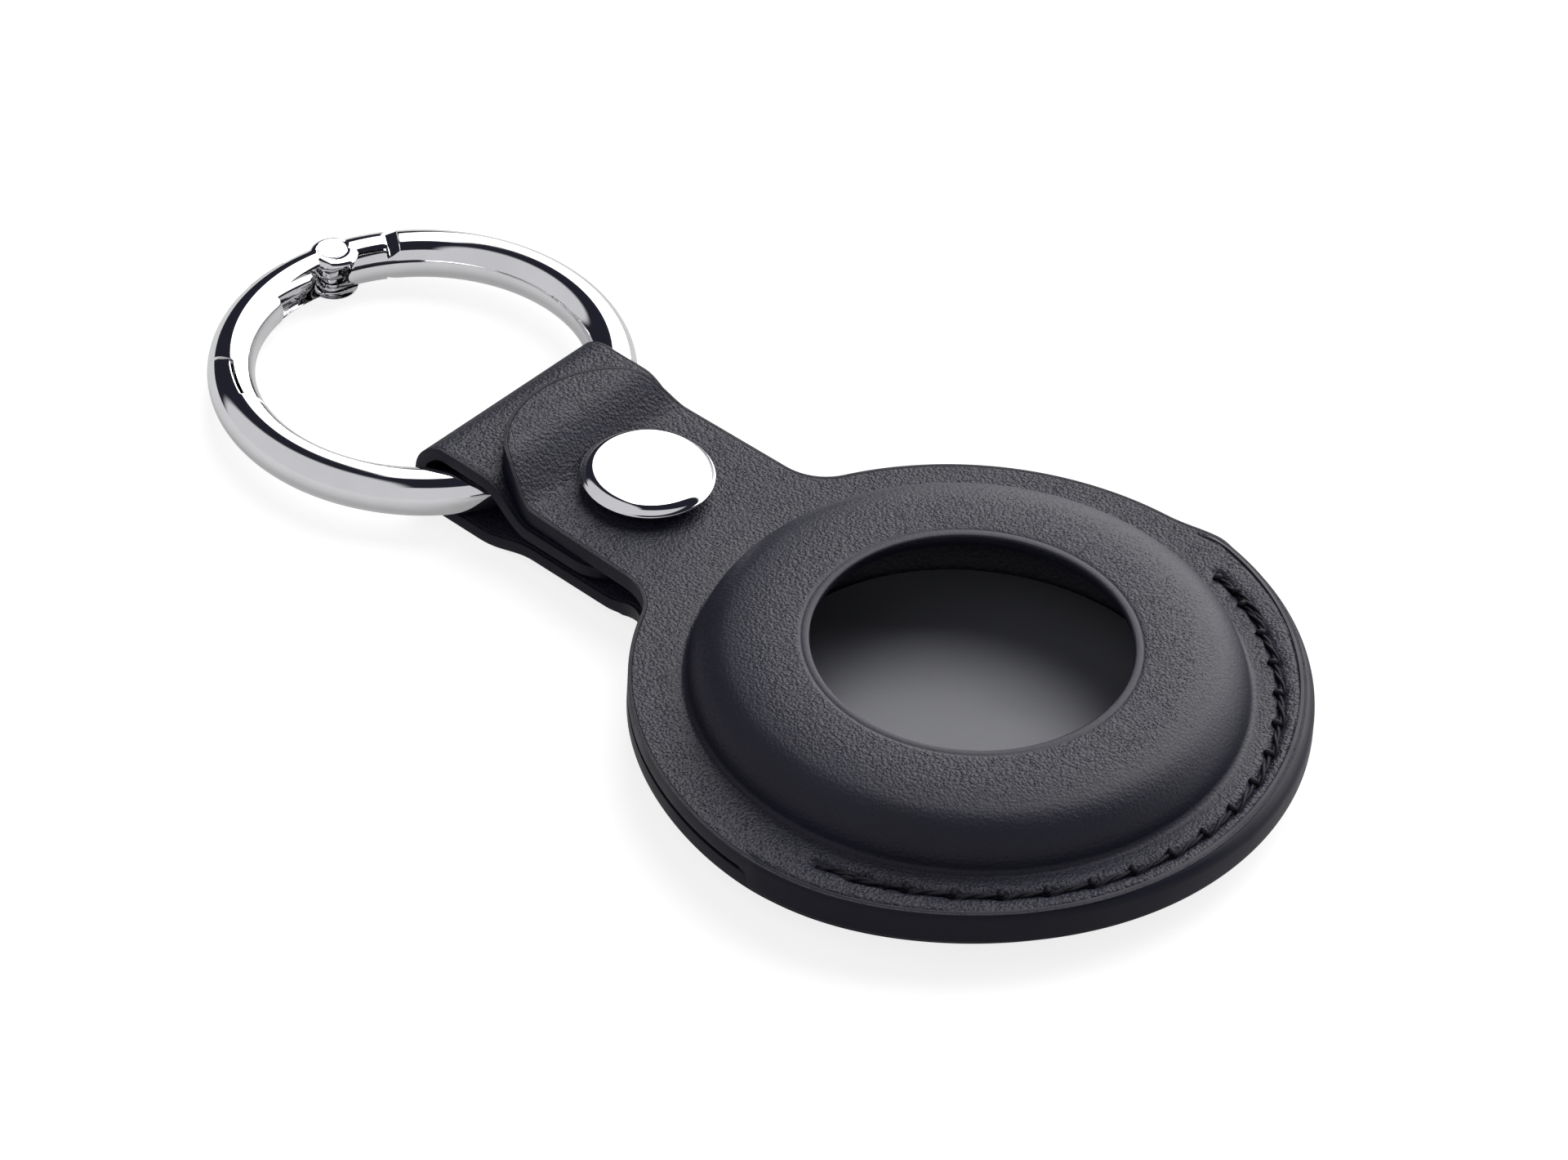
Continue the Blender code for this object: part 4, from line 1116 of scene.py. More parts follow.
@dataclass
class BackLeather:
    """Back leather in one piece: bulged disc, strap, loop round the ring and flap under the tab."""

    finishes: Finishes
    disc_steps: int = 240
    cut_steps: int = 24
    neck_drop: float = 0.00115
    neck_drop_start: float = 0.0185
    neck_drop_length: float = 0.0045
    dip_length: float = 0.0045
    flap_past_hinge: float = 0.0016
    flap_corner: float = 0.0028
    edge_round: float = 0.00034
    rim_steps: int = 10
    bend_steps: int = 30
    seam_sink: float = 0.00012
    seam_width: float = 0.0004
    stud_room: float = 0.00292
    stud_bore: float = 0.0012
    stud_seat: float = 0.00031
    thinning_start: float = -0.0205
    thinning_length: float = 0.0020

    def drop(self, x: float) -> float:
        """Distance by which the leather sinks below the rim beside the neck."""
        return self.neck_drop * ease((-self.neck_drop_start - x) / self.neck_drop_length)

    def bulge(self, radius: float) -> float:
        """Level of the underside between the flat floor and the rim."""
        share = (radius - SIZES.floor_radius) / (SIZES.bulge_radius - SIZES.floor_radius)
        return SIZES.back_bulge * ease(share)

    def rim_level(self, x: float, y: float) -> float:
        """Level of the rim's underside, with the sunk line of the lower thread.

        Args:
            x: place along the strap.
            y: place across it.

        Returns:
            The level.
        """
        radius, angle = math.hypot(x, y), math.atan2(y, x)
        beyond = max(0.0, abs(angle) - SIZES.stitch_span) * radius
        sunk = self.seam_sink * bell(radius - SIZES.stitch_radius, self.seam_width) * bell(beyond, 0.0005)
        return SIZES.back_bulge - self.drop(x) + sunk

    def path(self, start: float) -> list[Point]:
        """Middle line of the strap from the neck to the flap, as x, z and the angle of the inner normal.

        Args:
            start: x where the strap leaves the disc.

        Returns:
            The places in order.
        """
        half = SIZES.strap_leather / 2
        flat_z = SIZES.back_bulge + SIZES.leather / 2 - self.neck_drop
        neck_end = -self.neck_drop_start - self.neck_drop_length
        path = []
        for step in range(1, 5):
            x = start + (neck_end - start) * step / 4
            path.append((x, SIZES.back_bulge - self.drop(x) + SIZES.leather / 2, math.pi / 2))
        dip_start = -SIZES.loop_reach + self.dip_length
        for step in range(1, 7):
            path.append((neck_end + (dip_start - neck_end) * step / 7, flat_z, math.pi / 2))
        path += self.slope((dip_start, flat_z), (-SIZES.loop_reach, half), 12, math.pi / 2)
        inner = SIZES.ring_radius - SIZES.tube_radius
        reach = math.sqrt(inner ** 2 - SIZES.strap_width ** 2 / 4)
        tip = reach - SIZES.ring_radius - SIZES.loop_reach - SIZES.ring_fold_gap - half
        radius = (SIZES.crest_z - half) / 2
        centre = (tip + radius, half + radius)
        for x, z in arc(centre, radius, -math.pi / 2, -1.5 * math.pi, self.bend_steps):
            path.append((x, z, math.atan2(centre[1] - z, centre[0] - x)))
        rise_end = -SIZES.loop_reach + SIZES.flap_rise_length
        path += self.slope((-SIZES.loop_reach, SIZES.crest_z), (rise_end, SIZES.flap_z), 14, -math.pi / 2)
        return path

    def slope(self, start: Flat, end: Flat, steps: int, upright: float) -> list[Point]:
        """Places on a smooth step between two levels, both ends included.

        Args:
            start: x and z of the first place.
            end: x and z of the last place.
            steps: number of steps between them.
            upright: angle of the normal where it is level.

        Returns:
            The places in order.
        """
        length, height = end[0] - start[0], end[1] - start[1]
        places = []
        for step in range(steps + 1):
            share = step / steps
            tilt = math.atan(ease_slope(share, height, length))
            places.append((start[0] + length * share, start[1] + height * ease(share), upright + tilt))
        return places

    def flap_stations(self) -> list[tuple[float, float]]:
        """Last rows of the flap with the half width there, so that its corners are round.

        Returns:
            x and half width of each row.
        """
        end = SIZES.hinge_x - self.flap_past_hinge
        start = -SIZES.loop_reach + SIZES.flap_rise_length
        corner = end - self.flap_corner
        rows = [(start + (corner - start) * step / 6, SIZES.strap_width / 2) for step in range(1, 7)]
        for step in range(1, 9):
            angle = math.pi / 2 * step / 8
            rows.append((end - self.flap_corner * (1 - math.sin(angle)),
                         SIZES.strap_width / 2 - self.flap_corner * (1 - math.cos(angle))))
        return rows

    def build(self) -> bpy.types.Object:
        """Grow the outer side from the middle of the disc to the flap's end, and give it its thickness.

        Returns:
            The finished object.
        """
        half = SIZES.strap_width / 2
        outline, on_cut = panel_outline(half, self.cut_steps, 8, self.disc_steps)
        ways = [Vector(point).normalized() for point in outline]
        radii = [0.004, 0.008, 0.011, 0.013]
        radii += [SIZES.floor_radius + (SIZES.bulge_radius - SIZES.floor_radius) * k / 12 for k in range(13)]
        growth = Growth("back_leather", [(*(way * 0.001), 0.0) for way in ways])
        growth.fill()
        for radius in radii:
            growth.grow([(*(way * radius), self.bulge(radius)) for way in ways])
        for step in range(1, self.rim_steps + 1):
            share = step / self.rim_steps
            ring = []
            for way, point in zip(ways, outline):
                x, y = way * (SIZES.bulge_radius + (RIM.tucked(point) - SIZES.bulge_radius) * share)
                ring.append((x, y, self.rim_level(x, y)))
            growth.grow(ring)
        growth.keep(lambda place: place < on_cut)
        across = [1 - 2 * index / self.cut_steps for index in range(on_cut)]
        for place in self.path(outline[0][0]):
            growth.grow(dict(enumerate(section(across, place, half, -SIZES.strap_leather / 2))))
        for x, wide in self.flap_stations():
            row = section(across, (x, SIZES.flap_z, -math.pi / 2), wide, -SIZES.strap_leather / 2)
            growth.grow(dict(enumerate(row)))
        item = growth.finish()
        face_up(item, lambda face: face.center.z > SIZES.back_top)
        mark_edges(item, SIZES.dome_radius)
        self.set_thickness(item)
        dress(item, (self.finishes.leather, self.finishes.edge))
        bevel_edges(item, self.edge_round, 4, 60.0, 1)
        item.vertex_groups.clear()
        self.cut_stud_hole(item)
        shade(item, 40.0)
        return item

    def set_thickness(self, item: bpy.types.Object) -> None:
        """Thick leather on the disc and thinner leather on the strap.

        Args:
            item: the grown sheet.
        """
        group = item.vertex_groups.new(name="thick")
        for vert in item.data.vertices:
            x, _, z = vert.co
            flap = z >= SIZES.flap_z - 0.0006 and x <= self.thinning_start
            share = 1.0 if flap else ease((self.thinning_start - x) / self.thinning_length)
            group.add([vert.index], 1.0 - (1.0 - SIZES.strap_leather / SIZES.leather) * share, "REPLACE")
        thicken(item, SIZES.leather, group.name)

    def cut_stud_hole(self, item: bpy.types.Object) -> None:
        """Stepped hole through the flap for the stud.

        Args:
            item: the back leather.
        """
        low = SIZES.flap_z - SIZES.strap_leather / 2
        top = SIZES.flap_z + SIZES.strap_leather / 2
        step = top - self.stud_seat
        profile = [(0.0001, low - 0.00012), (self.stud_bore, low - 0.00012), (self.stud_bore, step),
                   (self.stud_room, step), (self.stud_room, top + 0.0001), (0.0001, top + 0.0001)]
        carve(item, turned("stud_hole", profile, 48, (SIZES.snap_x, 0.0)))

    def place(self, item: bpy.types.Object) -> None:
        """Let it ride on the pocket."""
        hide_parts("back_panel")
        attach(item, Body.POCKET.value)


@dataclass
class RimEdge:
    """Coat of edge paint that closes the two leathers along the sewn part of the rim."""

    finishes: Finishes
    proud: float = 0.00006
    corner: float = 0.00040
    end_sink: float = 0.00014
    end_angle: float = 0.06
    steps: int = 170

    def profile(self, angle: float, sunk: float) -> list[Flat]:
        """Cross-section of the coat.

        Args:
            angle: place on the rim.
            sunk: distance by which it is drawn into the leather.

        Returns:
            Radius and height of each corner.
        """
        low = SIZES.back_bulge - self.proud / 2 + sunk
        high = SIZES.flange_top + self.proud / 2 - sunk
        outer = RIM.reach(angle) + self.proud - sunk
        width = RIM.width(angle)
        inner = outer - width
        upper = width - 0.00004
        profile = [(inner, high - 0.00012), (inner + 0.00002, high - 0.00002)]
        profile += arc((outer - upper, high - upper), upper, math.pi / 2, 0.0, 9)
        profile += arc((outer - self.corner, low + self.corner), self.corner, 0.0, -math.pi / 2, 7)
        return profile + [(inner + 0.00002, low + 0.00002), (inner, low + 0.00012)]

    def build(self) -> bpy.types.Object:
        """Grow a rounded band along the rim and close its ends.

        Returns:
            The finished object.
        """
        loops = []
        for step in range(self.steps + 1):
            angle = SIZES.rim_span * (2 * step / self.steps - 1)
            sunk = self.end_sink * (1 - ease((SIZES.rim_span - abs(angle)) / self.end_angle))
            loops.append([(r * math.cos(angle), r * math.sin(angle), z) for r, z in self.profile(angle, sunk)])
        item = grown("rim_edge_paint", loops)
        shade(item, 50.0)
        dress(item, (self.finishes.edge,))
        return item

    def place(self, item: bpy.types.Object) -> None:
        """Let it ride on the pocket."""
        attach(item, Body.POCKET.value)


@dataclass
class Lining:
    """Smooth film on the pocket's floor, a little slack."""

    finishes: Finishes
    radius: float = 0.0138
    low: float = 0.0013
    thickness: float = 0.0003
    wave: float = 0.00003
    crown: float = 0.00004
    rings: int = 14
    steps: int = 96

    def build(self) -> bpy.types.Object:
        """Grow the film ring by ring, with shallow waves towards its edge.

        Returns:
            The finished object.
        """
        growth = None
        for ring in range(1, self.rings + 1):
            share = ring / self.rings
            loop = []
            for x, y in arc((0.0, 0.0), self.radius * share, 0.0, math.tau * (1 - 1 / self.steps), self.steps - 1):
                wave = self.wave * math.sin(5 * math.atan2(y, x) + 1.0) * share ** 3
                level = self.low + self.thickness - self.crown + wave + self.crown * (1 - share ** 2)
                loop.append((x, y, level))
            if growth is None:
                growth = Growth("lining_film", loop)
                growth.fill()
            else:
                growth.grow(loop)
        item = growth.finish()
        face_up(item, lambda face: True)
        solid = item.modifiers.new("thickness", "SOLIDIFY")
        solid.thickness = self.thickness - 0.0001
        solid.offset = -1.0
        apply_modifiers(item)
        shade(item, 40.0)
        dress(item, (self.finishes.lining,))
        return item

    def place(self, item: bpy.types.Object) -> None:
        """Let it ride on the pocket."""
        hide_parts("pocket_lining")
        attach(item, Body.POCKET.value)


@dataclass
class Stitching:
    """Lock stitches along the rim: twisted thread from hole to hole, with a knot at each hole."""

    finishes: Finishes
    strand: float = 0.00013
    twist: float = 0.00010
    sides: int = 8
    rows: int = 22
    lift: float = 0.00022
    bed: float = 0.00026
    slant: float = 0.00011
    knot_radius: float = 0.00027

    @staticmethod
    def count() -> int:
        """Number of stitches on the seam."""
        return max(2, round(2 * SIZES.stitch_span * SIZES.stitch_radius / SIZES.stitch_pitch))

    def strand_mesh(self, name: str, phase: float) -> bpy.types.Object:
        """One ply of one stitch along +X, shaped from a cylinder that is cut into rows.

        Args:
            name: name of the new object.
            phase: turn at which this ply starts round the stitch.

        Returns:
            The ply, centred on the origin.
        """
        pitch = SIZES.stitch_pitch
        loops = []
        for row in range(self.rows + 1):
            share = row / self.rows
            along = -pitch * 0.53 + pitch * 1.06 * share
            lift = self.lift * math.sin(math.pi * share) ** 0.6 - self.bed
            slant = self.slant * math.cos(math.pi * share)
            turn = phase + math.tau * 1.1 * share
            swell = 0.55 + 0.45 * math.sin(math.pi * share) ** 0.5
            centre = (slant + self.twist * math.cos(turn), lift + self.twist * 0.8 * math.sin(turn))
            circle = arc(centre, self.strand * swell, 0.0, math.tau * (1 - 1 / self.sides), self.sides - 1)
            loops.append([(along, y, z) for y, z in circle])
        return grown(name, loops)

    def knot_mesh(self, name: str) -> bpy.types.Object:
        """Small squashed knot that stands outside each hole.

        Args:
            name: name of the new object.

        Returns:
            The knot, set at the start of a stitch.
        """
        bpy.ops.object.select_all(action="DESELECT")
        bpy.ops.mesh.primitive_ico_sphere_add(subdivisions=2, radius=self.knot_radius, location=(0.0, 0.0, 0.0))
        knot = bpy.context.object
        knot.name = name
        for vert in knot.data.vertices:
            x, y, z = vert.co
            rough = 1 + 0.12 * math.sin(9000 * x + 5000 * y)
            vert.co = (x * 0.85 * rough - SIZES.stitch_pitch * 0.5, y * 1.25 * rough + 0.00020, z * 0.8 + 0.00002)
        return knot

    def build(self, name: str, level: float, side: float) -> bpy.types.Object:
        """Model one stitch, copy it along the seam and join the copies; both ends are sewn over once more.

        Args:
            name: name of the finished thread.
            level: surface that the thread lies on.
            side: 1 on top of the rim and -1 below it.

        Returns:
            The whole thread as one object.
        """
        parts = [self.strand_mesh("ply_a", 0.4), self.strand_mesh("ply_b", 0.4 + math.pi), self.knot_mesh("knot")]
        model = joined(parts)
        count = self.count()
        step = 2 * SIZES.stitch_span / count
        copies = []
        places = [index + 0.5 for index in range(count)] + [1.1, count - 1.1]
        for number, place in enumerate(places):
            again = number >= count
            angle = -SIZES.stitch_span + step * place
            copy = bpy.data.objects.new(f"stitch_{number:02d}", model.data.copy())
            bpy.context.scene.collection.objects.link(copy)
            radius = SIZES.stitch_radius + (0.00022 if again else 0.0)
            lift = level + side * (0.00010 if again else 0.0)
            turn = Matrix.Translation((radius * math.cos(angle), radius * math.sin(angle), lift))
            turn @= Matrix.Rotation(angle - math.pi / 2, 4, "Z")
            turn @= Matrix.Scale(-1.0, 4, (0.0, 1.0, 0.0))
            turn @= Matrix.Scale(side, 4, (0.0, 0.0, 1.0))
            copy.data.transform(turn)
            copies.append(copy)
        bpy.data.objects.remove(model, do_unlink=True)
        item = joined(copies)
        item.name = name
        clean_mesh(item, 1e-9)
        shade(item, 80.0)
        dress(item, (self.finishes.thread,))
        return item

    def place(self, item: bpy.types.Object, node: str) -> None:
        """Let it ride on the pocket."""
        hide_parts(node)
        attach(item, Body.POCKET.value)


@dataclass
class SnapCap:
    """Polished cap of the snap: flat top, sloped shoulder, rolled rim and a wall that draws in."""

    finishes: Finishes
    radius: float = 0.0042
    seat: float = 0.00015
    height: float = 0.0012

    def build(self) -> bpy.types.Object:
        """Turn the cap from its profile.

        Returns:
            The finished object.
        """
        base = SIZES.flange_top + self.seat
        top = base + self.height
        roll = 0.00009
        bead = (self.radius - roll, base + 0.00062)
        profile = [(0.0006, base + 0.0002), (0.0030, base + 0.0002), (0.00335, base), (0.0036, base)]
        profile += [(0.0038, base + 0.00016), (0.0040, base + 0.00036), (0.00407, base + 0.00050)]
        profile += arc(bead, roll, math.radians(-60.0), math.radians(70.0), 8)
        shoulder = [(0.00408, -0.00046), (0.00400, -0.00034), (0.00390, -0.00023), (0.00378, -0.00013),
                    (0.00366, -0.00006), (0.00356, -0.00002), (0.0034, 0.0), (0.0028, 0.000006), (0.0020, 0.000012),
                    (0.0012, 0.000016), (0.0005, 0.000018)]
        profile += [(radius, top + up) for radius, up in shoulder]
        item = turned("snap_cap_polished", profile, 128, (SIZES.snap_x, 0.0))
        shade(item, 45.0)
        dress(item, (self.finishes.chrome,))
        return item

    def place(self, item: bpy.types.Object) -> None:
        """Let it ride on the tab."""
        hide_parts("snap_cap")
        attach(item, Body.TAB.value)


@dataclass
class SpringRing:
    """Ring body and gate, modelled in the ring's own plane and tilted into place."""

    finishes: Finishes
    pin_angle: float = 162.0
    tail_angle: float = 145.0
    body_shoulder: float = 141.0
    latch_shoulder: float = 227.0
    latch_lip: float = 243.0
    channel_end: float = 190.0
    latch_gap: float = 0.00020
    cheek: float = 0.00028
    web: float = 0.00035
    lobe_radius: float = 0.0016
    lobe_inset: float = 0.0002
    lobe_round: float = 0.00045
    head_radius: float = 0.00093
    head_seat: float = 0.00010
    cheek_gap: float = 0.00008
    ear: float = 0.0002
    ear_radius: float = 0.00105
    fork_radius: float = 0.00155
    pin_bore: float = 0.0007
    overrun: float = 0.0005
    edge_break: float = 0.00005
    gap_drop: float = 0.00042
    tongue_inset: float = 0.0000003

    @property
    def matrix(self) -> Matrix:
        """Place of the ring's plane.

        Returns:
            Turn and shift from the ring's plane to the part's frame.
        """
        rest = SIZES.tube_radius + 0.00008 + 0.00013 + 0.00007
        tilt = math.asin((SIZES.ring_seat_z - rest) / (2 * SIZES.ring_radius))
        centre = (-SIZES.loop_reach - SIZES.ring_radius * math.cos(tilt), 0.0,
                  SIZES.ring_seat_z - SIZES.ring_radius * math.sin(tilt))
        return Matrix.Translation(centre) @ Matrix.Rotation(-tilt, 4, "Y")

    @property
    def pin(self) -> Flat:
        """Place of the pin in the ring's plane."""
        return polar(SIZES.ring_radius, self.pin_angle)

    def tube(self, name: str, inset: float = 0.0) -> bpy.types.Object:
        """Whole ring from a fine torus.

        Args:
            name: name of the new object.
            inset: distance by which the tube is thinner, so that two rings share no face.

        Returns:
            The whole ring.
        """
        bpy.ops.object.select_all(action="DESELECT")
        bpy.ops.mesh.primitive_torus_add(major_segments=256, minor_segments=48, major_radius=SIZES.ring_radius,
                                         minor_radius=SIZES.tube_radius - inset)
        item = bpy.context.object
        item.name = name
        return item

    def swing_point(self, radius: float, swing: float) -> Flat:
        """Point at a radius from the ring's centre and a distance from the pin.

        Args:
            radius: distance from the ring's centre.
            swing: distance from the pin.

        Returns:
            The point in the ring's plane.
        """
        big = SIZES.ring_radius
        cosine = (big ** 2 + radius ** 2 - swing ** 2) / (2 * big * radius)
        return polar(radius, self.pin_angle + math.degrees(math.acos(cosine)))

    def swing_distance(self, degrees: float) -> float:
        """Distance from the pin to the ring's middle line at an angle."""
        return 2 * SIZES.ring_radius * math.sin(math.radians(degrees - self.pin_angle) / 2)

    def gate_outline(self, gap: float, tail_angle: float) -> list[Flat]:
        """Plan of the gate with its stepped latch, whose faces follow the gate's swing.

        Args:
            gap: distance by which the outline is widened.
            tail_angle: angle where the outline starts, beyond the pin.

        Returns:
            The outline's points.
        """
        big, tube = SIZES.ring_radius, SIZES.tube_radius
        inner, outer = big - 2 * tube, big + 2 * tube
        middle = big + gap - self.latch_gap / 2
        shoulder = self.swing_distance(self.latch_shoulder) + gap
        lip = self.swing_distance(self.latch_lip) + gap
        steps = 6
        step_face = [self.swing_point(outer + (middle - outer) * k / steps, shoulder) for k in range(steps + 1)]
        lip_face = [self.swing_point(middle + (inner - middle) * k / steps, lip) for k in range(steps + 1)]

        def turn(point: Flat) -> float:
            """Angle of a point from 0 to a full turn."""
            return math.atan2(point[1], point[0]) % math.tau

        tail = math.radians(tail_angle)
        outer_side = arc((0.0, 0.0), outer, tail, turn(step_face[0]), 24)
        seam = arc((0.0, 0.0), middle, turn(step_face[-1]), turn(lip_face[0]), 8)
        inner_side = arc((0.0, 0.0), inner, turn(lip_face[-1]), tail, 24)
        return outer_side[:-1] + step_face + seam[1:-1] + lip_face + inner_side[1:]

    def band(self, inner: float, outer: float, start: float, end: float) -> list[Flat]:
        """Plan of a band of the ring between two radii and two angles in degrees."""
        first, last = math.radians(start), math.radians(end)
        return arc((0.0, 0.0), outer, first, last, 16) + arc((0.0, 0.0), inner, last, first, 16)

    def disc(self, centre: Flat, radius: float) -> list[Flat]:
        """Plan of a round piece."""
        steps = 56
        return arc(centre, radius, 0.0, math.tau * (1 - 1 / steps), steps - 1)

    def lobe(self) -> bpy.types.Object:
        """Rounded boss that widens both cheeks round the pin.

        Returns:
            The boss as a solid to join on.
        """
        high = SIZES.tube_radius - 0.00004
        rim = self.lobe_radius - self.lobe_round
        profile = [(0.0002, -high)]
        profile += arc((rim, self.lobe_round - high), self.lobe_round, -math.pi / 2, 0.0, 6)
        profile += arc((rim, high - self.lobe_round), self.lobe_round, 0.0, math.pi / 2, 6)
        profile += [(0.0002, high)]
        return turned("cheek_lobes", profile, 64, polar(SIZES.ring_radius - self.lobe_inset, self.pin_angle))

    def gap_ramp(self, side: float, top: float, high: float) -> bpy.types.Object:
        """Cutter that slopes the tongue's face between the ring's shoulder and the gate's tail.

        Args:
            side: 1 for the upper face and -1 for the lower one.
            top: level of the face beside the shoulder.
            high: level beyond the ring.

        Returns:
            The cutter.
        """
        reach = 2 * SIZES.tube_radius
        loops = []
        for angle, level in ((self.body_shoulder - 0.7, top + 0.00002), (self.tail_angle + 0.6, top - self.gap_drop)):
            inner, outer = (polar(SIZES.ring_radius + out, angle) for out in (-reach, reach))
            loops.append([(*inner, side * level), (*outer, side * level), (*outer, side * high),
                          (*inner, side * high)])
        return grown("gap_ramp", loops)

    def finish(self, item: bpy.types.Object) -> bpy.types.Object:
        """Round the cut edges a little, shade, dress and tilt a piece into place.

        Args:
            item: a piece in the ring's own plane.

        Returns:
            The same object.
        """
        clean_mesh(item, 2e-6)
        bevel_edges(item, self.edge_break, 2, 50.0)
        shade(item, 35.0)
        item.data.transform(self.matrix)
        dress(item, (self.finishes.chrome,))
        return item

    def build_body(self) -> bpy.types.Object:
        """Open ring with a lip for the latch and a forked tongue for the pin.

        Returns:
            The finished object.
        """
        body = self.tube("ring_polished")
        tube = SIZES.tube_radius
        high = tube + self.overrun
        carve(body, prism("gate_space", self.gate_outline(self.latch_gap, self.body_shoulder), -high, high))
        tall = tube - self.cheek - self.cheek_gap
        outer = SIZES.ring_radius + tube - self.web - 2 * self.cheek_gap
        inner = SIZES.ring_radius - 2 * tube
        root = self.body_shoulder - math.degrees(tube / SIZES.ring_radius)
        tongue = self.tube("tongue", self.tongue_inset)
        carve(tongue, prism("tongue_plan", self.band(inner, outer, root, self.pin_angle), -tall, tall), "INTERSECT")
        for side in (-1.0, 1.0):
            carve(tongue, self.gap_ramp(side, tall, high))
        carve(body, tongue, "UNION")
        eye = self.disc(self.pin, self.ear_radius)
        carve(body, prism("tongue_eye", eye, -tall - 6e-6, tall + 6e-6), "UNION")
        fork = tall - self.ear
        carve(body, prism("fork_slot", self.disc(self.pin, self.fork_radius), -fork, fork))
        carve(body, prism("tongue_bore", self.disc(self.pin, self.pin_bore), -high, high))
        return self.finish(body)

    def build_gate(self) -> bpy.types.Object:
        """Gate with its channel, cheek lobes and stepped latch.

        Returns:
            The finished object.
        """
        gate = self.tube("gate_polished")
        tube = SIZES.tube_radius
        high = tube + self.overrun
        carve(gate, prism("gate_plan", self.gate_outline(0.0, self.tail_angle), -high, high), "INTERSECT")
        carve(gate, self.lobe(), "UNION")
        start = self.tail_angle - math.degrees(self.web / SIZES.ring_radius)
        channel = self.band(SIZES.ring_radius - 3 * tube, SIZES.ring_radius + tube - self.web, start,
                            self.channel_end)
        carve(gate, prism("gate_channel", channel, -tube + self.cheek, tube - self.cheek))
        carve(gate, prism("cheek_bores", self.disc(self.pin, self.pin_bore), -high, high))
        seat = self.disc(self.pin, self.head_radius + 0.00005)
        for side in (-1.0, 1.0):
            low, top = sorted((side * (tube - self.head_seat), side * high))
            carve(gate, prism("head_seat", seat, low, top))
        return self.finish(gate)

    def build_pin(self) -> bpy.types.Object:
        """Pin with two low heads that sit almost flush in the cheeks.

        Returns:
            The finished object.
        """
        seat = SIZES.tube_radius - self.head_seat + 0.00001
        end = SIZES.tube_radius - 0.00001
        soft = 0.00003
        shaft = self.pin_bore - 0.00008
        half = [(shaft, seat), (self.head_radius, seat), (self.head_radius, end - soft),
                (self.head_radius - soft, end), (0.0002, end + 0.00001)]
        profile = [(radius, -level) for radius, level in reversed(half)] + half
        item = turned("pin_polished", profile, 56, self.pin)
        shade(item, 35.0)
        item.data.transform(self.matrix)
        dress(item, (self.finishes.chrome,))
        return item

    def place(self, body: bpy.types.Object, gate: bpy.types.Object, pin: bpy.types.Object) -> None:
        """Let the ring, its pin and the gate ride on their bodies.

        Args:
            body: the open ring.
            gate: the gate.
            pin: the pin.
        """
        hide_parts("ring_body")
        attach(body, Body.RING.value)
        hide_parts("gate_pin")
        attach(pin, Body.RING.value)
        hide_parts("ring_gate")
        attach(gate, Body.GATE.value)


def dress_kept_nodes(finishes: Finishes) -> None:
    """Give the metal nodes that stay as they are their procedural materials.

    Args:
        finishes: the holder's materials.
    """
    kept = {"stud_post": finishes.chrome, "gate_spring": finishes.steel,
            "snap_socket": finishes.steel, "socket_spring": finishes.steel, "snap_stud": finishes.steel}
    for name, material in kept.items():
        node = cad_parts[name]
        for slot in node.material_slots:
            slot.material = material
        LOG.info("node %s keeps its shape and gets %s", name, material.name)


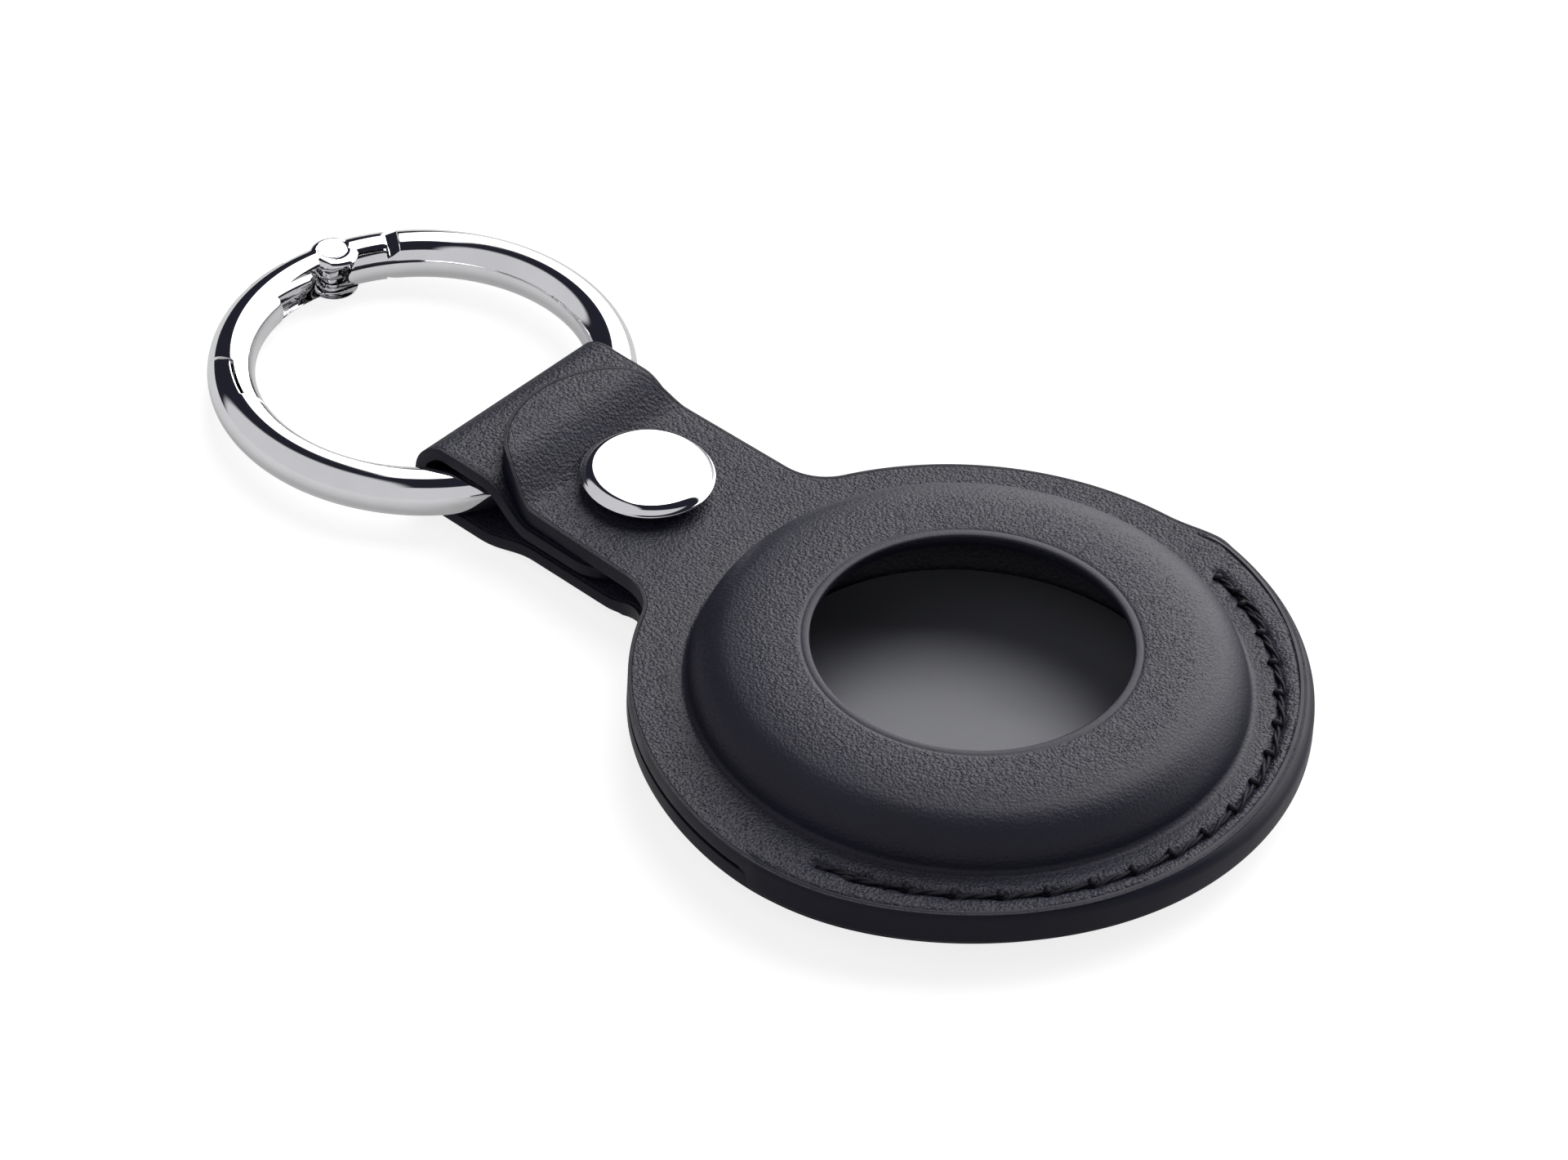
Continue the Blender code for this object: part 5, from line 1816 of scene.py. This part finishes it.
@dataclass
class Studio:
    """Pale floor, soft sky of light and the camera of the photograph."""

    azimuth: float = 39.75
    elevation: float = 40.68
    roll: float = 3.5
    distance: float = 0.680
    focal_pixels: float = 13530.0
    target: Flat = (-0.01687, 0.00358)
    shift: Flat = (17.0, 1.8)
    image: tuple[int, int] = (1920, 1420)
    sensor: float = 36.0
    glow: float = 0.80
    glow_in_metal: float = 0.30
    core: Film = (5.2, 5.2, 5.26, 1.0)
    bright: Film = (2.4, 2.4, 2.43, 1.0)
    soft: Film = (1.35, 1.35, 1.37, 1.0)
    grey: Film = (0.64, 0.64, 0.66, 1.0)
    dark: Film = (0.018, 0.018, 0.028, 1.0)

    def build_camera(self) -> None:
        """Camera at the photograph's viewing angle."""
        az, el, turn = (math.radians(value) for value in (self.azimuth, self.elevation, self.roll))
        back = Vector((math.sin(az) * math.cos(el), -math.cos(az) * math.cos(el), math.sin(el)))
        right = (-back).cross(Vector((0.0, 0.0, 1.0))).normalized()
        up = right.cross(-back)
        right, up = (right * math.cos(turn) + up * math.sin(turn), up * math.cos(turn) - right * math.sin(turn))
        data = bpy.data.cameras.new("studio_camera")
        data.sensor_width = self.sensor
        data.sensor_fit = "HORIZONTAL"
        data.lens = self.focal_pixels * self.sensor / self.image[0]
        data.shift_x = -self.shift[0] / self.image[0]
        data.shift_y = self.shift[1] / self.image[0]
        data.clip_start = 0.01
        camera = bpy.data.objects.new("studio_camera", data)
        turned_to = Matrix((right, up, back)).transposed().to_4x4()
        camera.matrix_world = Matrix.Translation(Vector((*self.target, 0.0)) + back * self.distance) @ turned_to
        bpy.context.scene.collection.objects.link(camera)
        bpy.context.scene.camera = camera

    def build_floor(self) -> None:
        """Pale floor that shows white where nothing shades it."""
        bpy.ops.object.select_all(action="DESELECT")
        bpy.ops.mesh.primitive_plane_add(size=4.0, location=(0.0, 0.0, 0.0))
        floor = bpy.context.object
        floor.name = "studio_floor"
        material, bench, shader, place = new_material("pale_floor")
        speckle = bench.add("TexNoise", {"Vector": place, "Scale": 30.0, "Detail": 2.0})
        tone = bench.mix(speckle.outputs["Fac"], (0.31, 0.31, 0.31, 1.0), (0.32, 0.32, 0.32, 1.0))
        path = bench.add("LightPath")
        seen = bench.maths("MAXIMUM", path.outputs["Is Glossy Ray"], path.outputs["Is Transmission Ray"])
        glow = bench.maths("MULTIPLY", seen, self.glow_in_metal)
        glow = bench.maths("MULTIPLY_ADD", path.outputs["Is Camera Ray"], self.glow, glow)
        bench.coat(shader, {"Base Color": tone, "Roughness": 0.9, "Specular IOR Level": 0.0,
                            "Emission Strength": glow, "Emission Color": (1.0, 1.0, 1.0, 1.0)})
        floor.data.materials.append(material)

    def build_light(self) -> None:
        """Soft light from above and behind, dark towards the camera near the horizon."""
        world = bpy.data.worlds.new("studio_light")
        bpy.context.scene.world = world
        world.use_nodes = True
        bench = NodeBench(world.node_tree)
        background = world.node_tree.nodes["Background"]
        ray = bench.add("TexCoord").outputs["Generated"]

        def side(left: float, near: float, up: float, start: float, end: float) -> bpy.types.NodeSocket:
            """Share of a direction that looks towards one side, given to the camera's left, nearness and height.

            Args:
                left: share towards the camera's left.
                near: share towards the camera.
                up: share upwards.
                start: facing at which the share begins.
                end: facing at which it is full.

            Returns:
                The share as a socket.
            """
            az = math.radians(self.azimuth)
            way = (-left * math.cos(az) + near * math.sin(az), -left * math.sin(az) - near * math.cos(az), up)
            facing = bench.add("VectorMath", {0: ray, 1: way}, operation="DOT_PRODUCT").outputs["Value"]
            return bench.ramp(facing, start, end)

        panel = bench.maths("MULTIPLY", side(-0.97, -0.08, 0.20, 0.05, 0.13), side(0.0, -0.97, -0.20, -0.03, 0.05))
        low = bench.maths("MAXIMUM", side(0.82, 0.38, 0.44, 0.60, 0.70), side(0.0, 0.84, -0.54, 0.00, 0.06))
        room = bench.mix(low, self.dark, self.grey)
        high = bench.ramp(bench.add("SeparateXYZ", {0: ray}).outputs["Z"], 0.58, 0.88)
        lit = bench.mix(side(-0.20, -0.74, 0.64, 0.70, 0.93), bench.mix(high, self.bright, self.soft), self.core)
        bench.coat(background, {"Color": bench.mix(panel, room, lit), "Strength": 1.0})

    def build(self) -> None:
        """Build the camera, the floor and the light."""
        self.build_camera()
        self.build_floor()
        self.build_light()
        bpy.context.scene.view_settings.view_transform = "Standard"


def main() -> None:
    """Build every piece in order."""
    logging.basicConfig(level=logging.INFO, format="%(name)s: %(message)s")
    Studio().build()
    finishes = Finishes()
    for piece in (FrontLeather(finishes), BackLeather(finishes), RimEdge(finishes), Lining(finishes),
                  SnapCap(finishes)):
        item = piece.build()
        piece.place(item)
        LOG.info("%s: %d faces", item.name, len(item.data.polygons))
    stitching = Stitching(finishes)
    for name, level, side, node in (("stitching_upper", SIZES.flange_top, 1.0, "rim_stitching"),
                                    ("stitching_lower", SIZES.back_bulge, -1.0, "rim_stitching_under")):
        thread = stitching.build(name, level, side)
        stitching.place(thread, node)
        LOG.info("%s: %d faces", thread.name, len(thread.data.polygons))
    ring = SpringRing(finishes)
    body, gate, pin = ring.build_body(), ring.build_gate(), ring.build_pin()
    ring.place(body, gate, pin)
    LOG.info("%s and %s: %d faces", body.name, gate.name, len(body.data.polygons) + len(gate.data.polygons))
    dress_kept_nodes(finishes)


if __name__ == "__main__":
    main()
